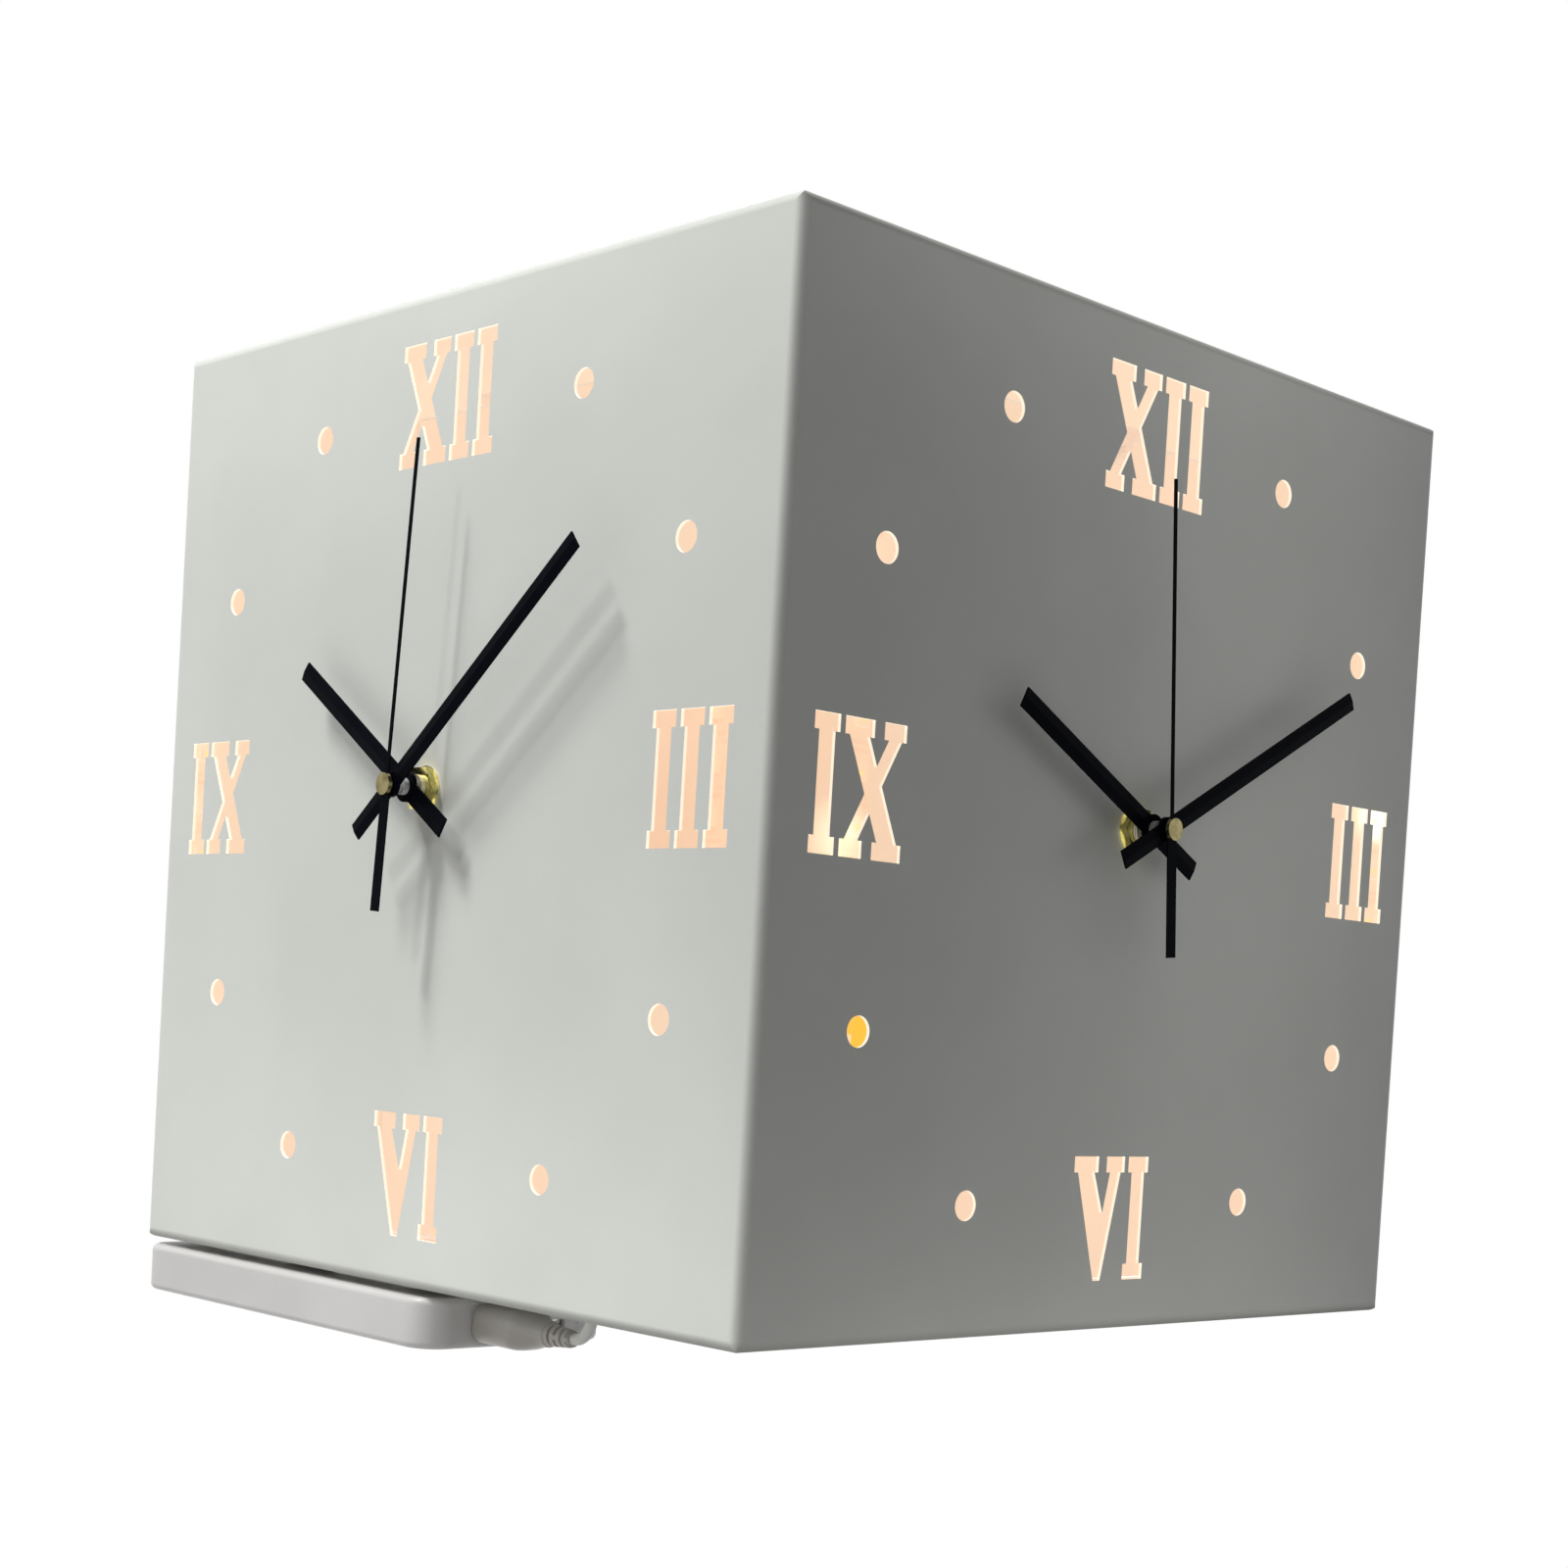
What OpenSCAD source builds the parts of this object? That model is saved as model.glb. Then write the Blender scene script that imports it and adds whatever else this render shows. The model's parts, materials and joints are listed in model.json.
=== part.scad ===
// Corner wall clock: an L-shaped steel housing that wraps the outer corner of a wall, with a dial on
// each face, cut-out numerals lit from inside, two quartz movements and a battery pack underneath.
// The wall corner's edge stands on the origin. Front dial faces -Y, side dial faces +X, +Z is up.

/* [Housing] */
// Width and height of each square dial face
face_size = 290; // [270:1:360]
// Depth of each arm, from the dial face to the wall
arm_depth = 95; // [85:1:120]
// Thickness of the housing's sheet steel
sheet_t = 1.0; // [0.8:0.1:1.5]
// Outside radius of the folded edges
bend_r = 3.0; // [2.5:0.1:5]

/* [Back plate] */
// How far the back plate sits in from the wall
back_recess = 3.0; // [2.6:0.1:6]
// Thickness of the folded back plate
back_t = 1.0; // [0.8:0.1:2]
// Free gap between the back plate's edge and the housing
back_gap = 0.5; // [0.3:0.1:1]
// Length of each welded tab's two legs
tab_leg = 10; // [9:0.5:14]
// Width of each welded tab
tab_w = 14; // [10:1:20]
// Thickness of the tab steel
tab_t = 1.2; // [1:0.1:1.5]
// Distance of the outer tabs from the arm's end and of the inner ones from the corner
tab_inset = 52; // [48:1:60]
// Thread radius of the cover screws
screw_r = 1.45; // [1.2:0.05:1.6]
// Radius of the screw heads
screw_head_r = 2.8; // [2.4:0.1:3.5]
// Height of the screw heads
screw_head_h = 1.8; // [1.2:0.1:2.4]
// Length of the screws under the head
screw_len = 6; // [4:0.5:8]

/* [Keyhole hangers] */
// Radius of the round entry that a wall screw's head passes through
keyhole_r = 4.5; // [4:0.1:5.5]
// Width of the slot that the clock hangs on
keyhole_slot_w = 4.6; // [4:0.1:5]
// Distance from the entry's centre up to the slot's round end
keyhole_rise = 11; // [9:0.5:16]
// Height of the entry's centre above the dial's middle
keyhole_height = 95; // [60:1:110]
// Distance of the two keyholes from the wall corner, and between them
keyhole_first = 75; // [60:1:80]
// Spacing of the two keyholes of one arm
keyhole_spacing = 80; // [60:1:90]
// Thickness of the hanger plates
hanger_t = 1.2; // [1:0.1:2]
// Radius of the rivets' shanks
rivet_r = 1.5; // [1.2:0.1:2]

/* [Dial] */
// Clear margin between the numerals and the dial's edge
numeral_margin = 14.5; // [10:0.5:20]
// Height of the numerals
numeral_h = 36; // [30:0.5:42]
// Height of the slab serifs
serif_h = 4.6; // [3.5:0.1:6]
// How far a serif reaches past its stroke on each side
serif_over = 1.7; // [1:0.1:2.2]
// Width of the strokes of I
i_stroke = 5.8; // [4:0.1:7]
// Width of the thick strokes of X and V, measured level
thick_stroke = 7.4; // [6:0.1:8]
// Width of the thin strokes of X and V, measured level
thin_stroke = 4.9; // [3.5:0.1:5.5]
// Overall width of X and of V
wide_glyph = 22.8; // [21:0.1:26]
// Depth of the open notch of V
v_notch = 16.4; // [12:0.1:20]
// Width of the steel left between two strokes of a numeral
glyph_gap = 1.8; // [1.2:0.1:3]
// Radius of the hour dots
dot_r = 4.2; // [3:0.1:5]
// Radius of the circle that the dots lie on
dot_ring_r = 125; // [100:0.5:130]

/* [Hands] */
// Reach of the hour hand's tip
hour_tip = 66.5; // [50:0.5:80]
// Reach of the hour hand's tail
hour_tail = 22.5; // [15:0.5:30]
// Width of the hour hand
hour_w = 6.0; // [4:0.1:8]
// Reach of the minute hand's tip
minute_tip = 100; // [85:0.5:104]
// Reach of the minute hand's tail
minute_tail = 21.5; // [15:0.5:30]
// Width of the minute hand
minute_w = 5.5; // [4:0.1:8]
// Reach of the second hand's tip
second_tip = 98; // [80:0.5:104]
// Reach of the second hand's tail
second_tail = 36.5; // [25:0.5:45]
// Width of the second hand's needle
second_w = 1.3; // [1:0.1:2]
// Width of the second hand's tail
second_tail_w = 4.0; // [3:0.1:5]
// Thickness of the hour and minute hands at their edges
hand_t = 0.5; // [0.4:0.05:0.7]
// Height of the crease along the middle of the hour and minute hands
hand_crease = 0.35; // [0.2:0.05:0.5]
// Height of the hour hand above the dial
hour_z = 6.7; // [5.8:0.1:7]
// Height of the minute hand above the dial
minute_z = 11.9; // [10.6:0.1:12]
// Height of the second hand above the dial
second_z = 13.7; // [13.6:0.1:14.2]
// Thickness of the second hand
second_t = 0.4; // [0.3:0.05:0.6]
// Radius of the brass cap of the second hand
cap_r = 3.2; // [2.8:0.1:4]
// Height of the brass cap's top above the dial
cap_top = 15.3; // [15.2:0.1:17]
// Clockwise angle of the front dial's hour, minute and second hands from XII
front_angles = [303.2, 51.2, 3.9];
// Clockwise angle of the side dial's hour, minute and second hands from XII
side_angles = [297.2, 61.4, 355.1];

/* [Movement] */
// Width and height of each movement's case
case_size = 56; // [55:0.5:60]
// Wall thickness of the case
case_wall = 1.4; // [1.2:0.1:1.6]
// Radius of the threaded neck
neck_r = 3.9; // [3.7:0.1:4.2]
// Reach of the threaded neck above the dial
neck_top = 4.5; // [4:0.1:5]
// Width across the flats of the hex nut
nut_flats = 12; // [11:0.5:14]
// Thickness of the hex nut
nut_t = 2.5; // [2:0.1:2.8]
// Radius of the washer under the nut
washer_r = 6.8; // [6.5:0.1:8]
// Thickness of the washer
washer_t = 0.5; // [0.3:0.1:0.8]
// Radial running clearance of every arbor and pipe
running_gap = 0.05; // [0.03:0.01:0.08]
// Distance between two layers of wheels
layer_step = 1.8; // [1.8:0.05:2]
// Thickness of the wheels
wheel_t = 0.8; // [0.6:0.05:0.9]
// Thickness of the pinions
pinion_t = 1.2; // [1:0.05:1.3]
// Radius of the seconds arbor
seconds_arbor_r = 0.6; // [0.5:0.05:0.7]
// Outside radius of the minute pipe
minute_pipe_r = 1.6; // [1.5:0.05:1.65]
// Outside radius of the hour wheel's pipe
hour_pipe_r = 2.5; // [2.3:0.05:2.7]
// How far the hour wheel's pipe stands in front of the hour hand's edge
hour_pipe_over = 2.2; // [0.8:0.1:2.6]
// Radius of the AA cell
cell_r = 7.1; // [6.9:0.05:7.2]
// Length of the AA cell with its contact nub
cell_len = 50.5; // [49.2:0.1:50.6]
// Radius of the setting knob
knob_r = 5.5; // [4.5:0.1:6.5]

/* [Gear train] */
// Teeth of the rotor's pinion and of the intermediate pinion
rotor_teeth = 10; // [10:1:12]
// Teeth of the intermediate wheel
intermediate_teeth = 50; // [45:1:52]
// Teeth of the seconds wheel and of the third wheel
seconds_teeth = 60; // [54:1:62]
// Teeth of the seconds arbor's pinion and of the third pinion
leaf_teeth = 8; // [8:1:9]
// Teeth of the centre wheel
centre_teeth = 64; // [58:1:66]
// Teeth of the minute pipe's pinion and of the setting pinion
cannon_teeth = 12; // [11:1:13]
// Teeth of the minute wheel
minute_teeth = 36; // [33:1:38]
// Teeth of the minute wheel's own pinion
reverser_teeth = 10; // [9:1:11]
// Teeth of the hour wheel
hour_teeth = 40; // [36:1:42]
// Tooth size, pitch diameter over teeth, of the seconds wheel
seconds_module = 0.32; // [0.3:0.005:0.33]
// Tooth size of the intermediate wheel
rotor_module = 0.28; // [0.26:0.005:0.29]
// Tooth size of the minute wheel
minute_module = 0.36; // [0.34:0.005:0.37]

/* [Light strips] */
// Width of the flexible strip
strip_w = 10; // [8:1:12]
// Thickness of the flexible strip
strip_t = 0.5; // [0.3:0.1:1]
// Length of each strip
strip_len = 250; // [200:1:255]
// Distance of the end strips' middle behind the dial face
strip_behind_dial = 12; // [9:0.5:20]
// Distance of the corner strips' middle from the wall corner
strip_from_corner = 27; // [25:0.5:40]
// Side of each light chip
chip_w = 5; // [3.5:0.1:6]
// Height of each light chip
chip_h = 1.6; // [1:0.1:2]
// Spacing of the light chips
chip_pitch = 16.6; // [12:0.1:34]

/* [Battery pack] */
// Length of the pack
pack_len = 160; // [140:1:170]
// Depth of the pack
pack_w = 70; // [68:1:80]
// Thickness of the pack
pack_t = 15; // [14.5:0.5:20]
// Radius of the pack's upright corners
pack_corner_r = 10; // [8:0.5:14]
// Radius of the pack's long edges
pack_edge_r = 2; // [1:0.1:3]
// How far the pack's front sits behind the dial face; below 0 it stands in front of the dial face
pack_inset = -1.5; // [-3:0.5:8]
// Wall thickness of the pack's shell
pack_wall = 1.5; // [1.2:0.1:2]
// Thickness of each hook or loop pad
pad_t = 1.0; // [0.8:0.1:2]
// Side of the square pads
pad_w = 45; // [30:1:60]
// Travel of the power button
button_travel = 0.6; // [0.4:0.1:0.8]
// Radius of the power button
button_r = 3.5; // [3:0.1:4.5]

/* [Power lead] */
// Radius of the lead
lead_r = 1.75; // [1.5:0.05:1.8]
// Distance of the plug's middle behind the pack's front
plug_from_front = 25; // [22:0.5:35]
// Width of the plug's body
plug_w = 16; // [15:0.5:18]
// Height of the plug's body
plug_h = 12; // [8:0.1:12.5]
// Length of the plug's body
plug_len = 27.5; // [20:0.5:32]
// Length of the ribbed strain relief
relief_len = 10; // [8:0.5:14]
// Ribs of the strain relief
relief_ribs = 4; // [3:1:5]

/* [Hidden] */

$fn = 48;
// A cut reaches this far past the surface that it starts from
over = 1;
// Seat clearance between two pieces of one body
seat_gap = 0.02;

// Reach of each arm beyond the wall corner, and the middle of a dial along its face
reach = face_size - arm_depth;
half_face = face_size / 2;

// Planes of the back plate, measured inwards from the wall
plate_out = back_recess;
plate_in = back_recess + back_t;
screw_hole_r = screw_r + 0.25;
tap_r = screw_r + 0.05;
window_margin = 3;

// Planes of the movement along the dial's outward normal, with the dial's face at 0
front_in = -sheet_t - case_wall;
layer_first = front_in - 1.2;
layer_count = 6;
cover_in = layer_first - (layer_count - 1) * layer_step - 1.5;
cover_out = cover_in - case_wall;
bearing_depth = 0.8;
bearing_end = bearing_depth - 0.1;
layer = [for (i = [0:layer_count - 1]) layer_first - i * layer_step];

// Arbor radii of the wheels behind the dial
third_arbor_r = 0.5;
intermediate_arbor_r = 0.5;
rotor_arbor_r = 0.4;
stud_r = 0.5;
knob_arbor_r = 0.9;
knob_h = 3;
magnet_r = 3;
magnet_h = 3.2;

// Distances between the arbors, each set by one pair of wheels
third_distance = seconds_module * (leaf_teeth + seconds_teeth) / 2;
centre_module = 2 * third_distance / (leaf_teeth + centre_teeth);
intermediate_distance = seconds_module * (rotor_teeth + seconds_teeth) / 2;
rotor_distance = rotor_module * (rotor_teeth + intermediate_teeth) / 2;
minute_distance = minute_module * (cannon_teeth + minute_teeth) / 2;
hour_module = 2 * minute_distance / (reverser_teeth + hour_teeth);

// Directions from each arbor to the next, in degrees from the dial's right
third_dir = 150;
intermediate_dir = 60;
rotor_dir = 10;
minute_dir = -10;

function polar(r, a) = [r * cos(a), r * sin(a)];
third_at = polar(third_distance, third_dir);
intermediate_at = polar(intermediate_distance, intermediate_dir);
rotor_at = intermediate_at + polar(rotor_distance, rotor_dir);
minute_at = polar(minute_distance, minute_dir);
knob_at = minute_at + polar(minute_distance, minute_dir);

// A wheel's turn that puts its gap on the tooth of the wheel it meshes with, dir degrees away
function mesh_turn(dir, teeth_a, turn_a, teeth_b) =
    dir + 180 - 360 / teeth_b * (0.5 - (dir - turn_a) * teeth_a / 360);
intermediate_pinion_turn = mesh_turn(intermediate_dir, seconds_teeth, 0, rotor_teeth);
rotor_turn = mesh_turn(rotor_dir, intermediate_teeth, 0, rotor_teeth);
third_turn = mesh_turn(third_dir, leaf_teeth, 0, seconds_teeth);
centre_turn = mesh_turn(third_dir + 180, leaf_teeth, 0, centre_teeth);
minute_turn = mesh_turn(minute_dir, cannon_teeth, 0, minute_teeth);
hour_turn = mesh_turn(minute_dir + 180, reverser_teeth, 0, hour_teeth);
knob_turn = mesh_turn(minute_dir, minute_teeth, minute_turn, cannon_teeth);

// Battery bay of the movement
case_half = case_size / 2;
cell_gap = 0.2;
cell_y = -case_half + case_wall + cell_gap + cell_r;
cell_z = front_in - cell_gap - cell_r;
bay_wall = 0.8;
bay_top = cell_y + cell_r + cell_gap + bay_wall;
cell_nub = 1;
contact_t = 0.4;

// Coil and stator of the stepping motor
coil_y = case_half - case_wall - 4.3;
coil_r = 3.2;
coil_x = [-5, 15];
stator_z = layer[3] - 0.6;
stator_t = 1;
stator_bar = 2.6;
stator_left = -12;
stator_right = 22;
pole_r = 5.6;
pole_hole_r = magnet_r + 0.6;
lower_bar_y = third_at[1] + seconds_module * (seconds_teeth / 2 + 1) + 0.7;
post_r = 1.2;

// Battery pack's box under the front arm
pack_x0 = -reach;
pack_x1 = pack_x0 + pack_len;
pack_y0 = -arm_depth + pack_inset;
pack_y1 = pack_y0 + pack_w;
pack_top = -2 * pad_t;
pack_bottom = pack_top - pack_t;
pack_mid = (pack_top + pack_bottom) / 2;
lid_t = 1.2;
lid_gap = 0.15;
lid_inset = pack_wall + 1;
ledge_inset = lid_inset + 1;
ledge_t = 1.2;
cell_t = 10;
board_len = 26;
board_t = 1.2;
board_z = pack_mid - 4.5;
socket_w = 13.4;
socket_h = 6;
socket_wall = 0.4;
socket_len = 14;
plug_shell_w = 12;
plug_shell_h = 4.5;
plug_shell_in = 11.7;
charge_w = 8;
charge_h = 3;
charge_len = 6;
charge_y = pack_y0 + 48;
button_x = pack_x1 - 14;

// Plug and lead
plug_y = pack_y0 + plug_from_front;
plug_x0 = pack_x1 + 0.3;
plug_x1 = plug_x0 + plug_len;
relief_x1 = plug_x1 + relief_len;
relief_r0 = 3.4;
relief_r1 = 2.5;
grommet_r = lead_r + 1.2;
grommet_lip = 1.4;
lead_bend = -pack_mid - grommet_lip - 0.6;
grommet_x = relief_x1 + lead_bend;

// Rest of the lead: along the housing's floor and up to the front corner strip
strip_foot = (face_size - strip_len) / 2;
lead_floor = sheet_t + lead_r + 0.15;
lead_end = [-strip_from_corner + 2, -plate_in - strip_t - lead_r - 0.2, strip_foot - 1];
lead_bend_steps = 5;
lead_points = concat(
    [for (i = [0:lead_bend_steps])
        let (a = 90 * i / lead_bend_steps)
        [relief_x1 + lead_bend * sin(a), plug_y, pack_mid + lead_bend * (1 - cos(a))]],
    [[grommet_x, plug_y, -grommet_lip - 0.1], [grommet_x, plug_y, sheet_t + grommet_lip + 0.1],
     [grommet_x, plug_y + 0.3, 5.5], [grommet_x, plug_y + 1.6, 9.5], [grommet_x - 1, plug_y + 5, 13],
     [grommet_x - 3, plug_y + 11, 14.2], [grommet_x - 5, plug_y + 17, 12],
     [grommet_x - 7, plug_y + 22, 8], [grommet_x - 10, plug_y + 27, 4.6],
     [grommet_x - 15, plug_y + 33, lead_floor], [grommet_x - 21, plug_y + 39, lead_floor],
     [grommet_x - 26, plug_y + 45, lead_floor], [grommet_x - 30, plug_y + 50, lead_floor + 0.6],
     [lead_end[0] - 3, lead_end[1] - 6, 5], [lead_end[0] - 1, lead_end[1] - 1.5, 9],
     [lead_end[0], lead_end[1], 13.5], lead_end]);

// Link wire from the foot of the corner strip to the foot of the end strip, front arm
link_r = 0.9;
link_floor = sheet_t + link_r + 0.15;
link_start = [-strip_from_corner - 3, -plate_in - strip_t - link_r - 0.2, strip_foot - 1];
link_end = [-reach + sheet_t + strip_t + link_r + 0.2, -arm_depth + strip_behind_dial, strip_foot - 1];
link_points = [
    link_start, link_start + [0, 0, -6], link_start + [-1, -2, -11],
    [link_start[0] - 4, link_start[1] - 5.9, link_floor + 1.2],
    [link_start[0] - 9, link_start[1] - 11.4, link_floor],
    [link_start[0] - 16, link_start[1] - 15.4, link_floor],
    [link_start[0] - 39, link_start[1] - 17.4, link_floor],
    [link_start[0] - 64, link_start[1] - 17.4, link_floor],
    [link_end[0] + 67.4, link_end[1] + 59, link_floor],
    [link_end[0] + 42.4, link_end[1] + 56, link_floor],
    [link_end[0] + 24.4, link_end[1] + 47, link_floor],
    [link_end[0] + 12.4, link_end[1] + 31, link_floor],
    [link_end[0] + 6.4, link_end[1] + 17, link_floor + 0.3],
    [link_end[0] + 2.4, link_end[1] + 7, link_floor + 2],
    link_end + [0.6, 1, -9], link_end + [0, 0, -5], link_end];

function unit(v) = v / norm(v);
function headings(p) = [for (i = [0:len(p) - 1])
    unit(p[min(i + 1, len(p) - 1)] - p[max(i - 1, 0)])];
function carried(t, n, i = 0) =
    i == len(t) ? [] : let (m = unit(n - (n * t[i]) * t[i])) concat([m], carried(t, m, i + 1));

// A round tube swept along points, starting square to the first heading
module tube(points, r, start_heading, sides = 8) {
    t = concat([start_heading], [for (i = [1:len(points) - 1]) headings(points)[i]]);
    side = abs(start_heading[2]) < 0.9 ? [0, 0, 1] : [1, 0, 0];
    n = carried(t, side);
    rings = [for (i = [0:len(points) - 1]) for (k = [0:sides - 1])
        let (a = 360 * k / sides, b = cross(t[i], n[i]))
        points[i] + r * cos(a) * n[i] + r * sin(a) * b];
    last = (len(points) - 1) * sides;
    polyhedron(rings, concat(
        [[for (k = [0:sides - 1]) k]],
        [[for (k = [sides - 1:-1:0]) last + k]],
        [for (i = [0:len(points) - 2]) for (k = [0:sides - 1])
            let (a = i * sides + k, b = i * sides + (k + 1) % sides) each
            [[a, a + sides, b], [b, a + sides, b + sides]]]));
}

// Frames: a dial seen from outside, and the two arms mirrored over the diagonal
module on_front() {
    translate([arm_depth - half_face, -arm_depth, half_face]) rotate([90, 0, 0]) children();
}
module on_side() {
    translate([arm_depth, half_face - arm_depth, half_face]) rotate([90, 0, 90]) children();
}
module on_both_dials() {
    on_front() children();
    on_side() children();
}
module both_arms() {
    children();
    mirror([1, 1, 0]) children();
}
// The front arm's back seen from the wall: X runs away from the corner, Y up, Z out to the wall
module on_back() {
    rotate([90, 0, 180]) children();
}

module round_square(lo, hi, r) {
    translate([lo[0] + r, lo[1]]) square([hi[0] - lo[0] - 2 * r, hi[1] - lo[1]]);
    translate([lo[0], lo[1] + r]) square([hi[0] - lo[0], hi[1] - lo[1] - 2 * r]);
    for (x = [lo[0] + r, hi[0] - r], y = [lo[1] + r, hi[1] - r])
        translate([x, y]) circle(r);
}

// The L-shaped form of the housing, drawn in by inset, with the wall's notch moved by wall_shift
module corner_form(inset, wall_shift) {
    r = bend_r - inset;
    lo = -reach + inset;
    hi = arm_depth - inset;
    difference() {
        intersection() {
            translate([0, 0, inset]) linear_extrude(face_size - 2 * inset)
                round_square([lo, -hi], [hi, -lo], r);
            translate([-face_size, 0, 0]) rotate([90, 0, 90]) linear_extrude(2 * face_size)
                round_square([-hi, inset], [-lo, face_size - inset], r);
            translate([0, face_size, 0]) rotate([90, 0, 0]) linear_extrude(2 * face_size)
                round_square([lo, inset], [hi, face_size - inset], r);
        }
        translate([-2 * face_size - wall_shift, wall_shift, -over])
            cube([2 * face_size, 2 * face_size, face_size + 2 * over]);
    }
}

module glyph_i() {
    w = i_stroke + 2 * serif_over;
    square([w, serif_h]);
    translate([0, numeral_h - serif_h]) square([w, serif_h]);
    translate([serif_over, 0]) square([i_stroke, numeral_h]);
}

// Slab serifs of the thick and the thin stroke, at the top of X and V or at the foot of X
module wide_serifs(thick_x, thin_x, y) {
    translate([thick_x - thick_stroke / 2 - serif_over, y])
        square([thick_stroke + 2 * serif_over, serif_h]);
    translate([thin_x - thin_stroke / 2 - serif_over, y])
        square([thin_stroke + 2 * serif_over, serif_h]);
}

thick_left = thick_stroke / 2 + serif_over;
thin_left = thin_stroke / 2 + serif_over;
module glyph_x() {
    wide_serifs(thick_left, wide_glyph - thin_left, numeral_h - serif_h);
    wide_serifs(wide_glyph - thick_left, thin_left, 0);
    polygon([
        [thick_left - thick_stroke / 2, numeral_h - serif_h],
        [thick_left + thick_stroke / 2, numeral_h - serif_h],
        [wide_glyph - thick_left + thick_stroke / 2, serif_h],
        [wide_glyph - thick_left - thick_stroke / 2, serif_h]]);
    polygon([
        [wide_glyph - thin_left - thin_stroke / 2, numeral_h - serif_h],
        [wide_glyph - thin_left + thin_stroke / 2, numeral_h - serif_h],
        [thin_left + thin_stroke / 2, serif_h],
        [thin_left - thin_stroke / 2, serif_h]]);
}

v_foot = 3.2;
v_foot_x = 12.8;
v_notch_x = 13.7;
module glyph_v() {
    wide_serifs(thick_left, wide_glyph - thin_left, numeral_h - serif_h);
    polygon([
        [thick_left - thick_stroke / 2, numeral_h - serif_h],
        [thick_left + thick_stroke / 2, numeral_h - serif_h],
        [v_notch_x, numeral_h - v_notch],
        [wide_glyph - thin_left - thin_stroke / 2, numeral_h - serif_h],
        [wide_glyph - thin_left + thin_stroke / 2, numeral_h - serif_h],
        [v_foot_x + v_foot / 2, 0],
        [v_foot_x - v_foot / 2, 0]]);
}

function glyph_w(g) = g == "I" ? i_stroke + 2 * serif_over : wide_glyph;
function numeral_w(word, i = 0) =
    i == len(word) ? -glyph_gap : glyph_w(word[i]) + glyph_gap + numeral_w(word, i + 1);
function glyph_start(word, i) = i == 0 ? 0 : glyph_start(word, i - 1) + glyph_w(word[i - 1]) + glyph_gap;

// A numeral centred on its own place
module numeral(word) {
    for (i = [0:len(word) - 1])
        translate([glyph_start(word, i) - numeral_w(word) / 2, -numeral_h / 2]) {
            if (word[i] == "I") glyph_i();
            if (word[i] == "X") glyph_x();
            if (word[i] == "V") glyph_v();
        }
}

module dial_cuts() {
    edge = half_face - numeral_margin;
    translate([0, edge - numeral_h / 2]) numeral("XII");
    translate([0, -edge + numeral_h / 2]) numeral("VI");
    translate([edge - numeral_w("III") / 2, 0]) numeral("III");
    translate([-edge + numeral_w("IX") / 2, 0]) numeral("IX");
    for (hour = [1, 2, 4, 5, 7, 8, 10, 11])
        rotate(-30 * hour) translate([0, dot_ring_r]) circle(dot_r);
    circle(neck_r + 0.2);
}

// Places of the welded tabs on one arm: [along the arm, height, turn of the tab]
end_tab_u = reach - sheet_t;
tab_places = [
    [tab_inset, face_size - sheet_t, 0],
    [reach - tab_inset, face_size - sheet_t, 0],
    [tab_inset, sheet_t, 180],
    [reach - tab_inset, sheet_t, 180],
    [end_tab_u, half_face, -90]];
tab_hole_off = tab_leg * 0.55;

module at_tabs() {
    both_arms() on_back()
        for (p = tab_places) translate([p[0], p[1], -plate_in]) rotate(p[2]) children();
}

// A tab hangs from Y = 0, the housing's wall, with its screw leg against the back plate
module tab_form() {
    difference() {
        union() {
            translate([-tab_w / 2, -tab_t, -tab_leg]) cube([tab_w, tab_t, tab_leg]);
            translate([-tab_w / 2, -tab_leg, -tab_t]) cube([tab_w, tab_leg, tab_t]);
        }
        translate([0, -tab_hole_off, -tab_t - over]) cylinder(r = tap_r, h = tab_t + 2 * over);
    }
}

hanger_w = 30;
hanger_h = 36;
hanger_low = -12;
rivet_off = hanger_w / 2 - 4;
keyhole_z = half_face + keyhole_height;
keyhole_places = [keyhole_first, keyhole_first + keyhole_spacing];
module at_keyholes() {
    both_arms() on_back()
        for (u = keyhole_places) translate([u, keyhole_z, 0]) children();
}
module keyhole_cut(h) {
    cylinder(r = keyhole_r, h = h);
    translate([-keyhole_slot_w / 2, 0, 0]) cube([keyhole_slot_w, keyhole_rise, h]);
    translate([0, keyhole_rise, 0]) cylinder(r = keyhole_slot_w / 2, h = h);
}
rivet_spots = [
    [-rivet_off, hanger_low + 5], [rivet_off, hanger_low + 5],
    [-rivet_off, hanger_low + hanger_h - 5], [rivet_off, hanger_low + hanger_h - 5]];

module housing() {
    color("gainsboro") difference() {
        corner_form(0, 0);
        corner_form(sheet_t, over);
        on_both_dials() translate([0, 0, -sheet_t - over]) linear_extrude(sheet_t + 2 * over) dial_cuts();
        translate([grommet_x, plug_y, -over]) cylinder(r = grommet_r, h = sheet_t + 2 * over);
    }
}

module mounting_tabs() {
    color("silver") at_tabs() tab_form();
}

module back_plate() {
    fold_r = 1.5;
    window = [keyhole_r + window_margin, keyhole_rise + keyhole_r];
    color("whitesmoke") difference() {
        intersection() {
            linear_extrude(face_size) difference() {
                round_square([-2 * face_size, -plate_in], [plate_in, 2 * face_size], fold_r + back_t);
                round_square([-3 * face_size, -plate_out], [plate_out, 3 * face_size], fold_r);
            }
            corner_form(sheet_t + back_gap, 0);
        }
        at_tabs() translate([0, -tab_hole_off, -over]) cylinder(r = screw_hole_r, h = back_t + 2 * over);
        at_keyholes() translate([-window[0], -window[0], -plate_in - over])
            cube([2 * window[0], window[0] + window[1], back_t + 2 * over]);
        at_keyholes() for (p = rivet_spots)
            translate([p[0], p[1], -plate_in - over]) cylinder(r = rivet_r + seat_gap, h = back_t + 2 * over);
    }
}

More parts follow.
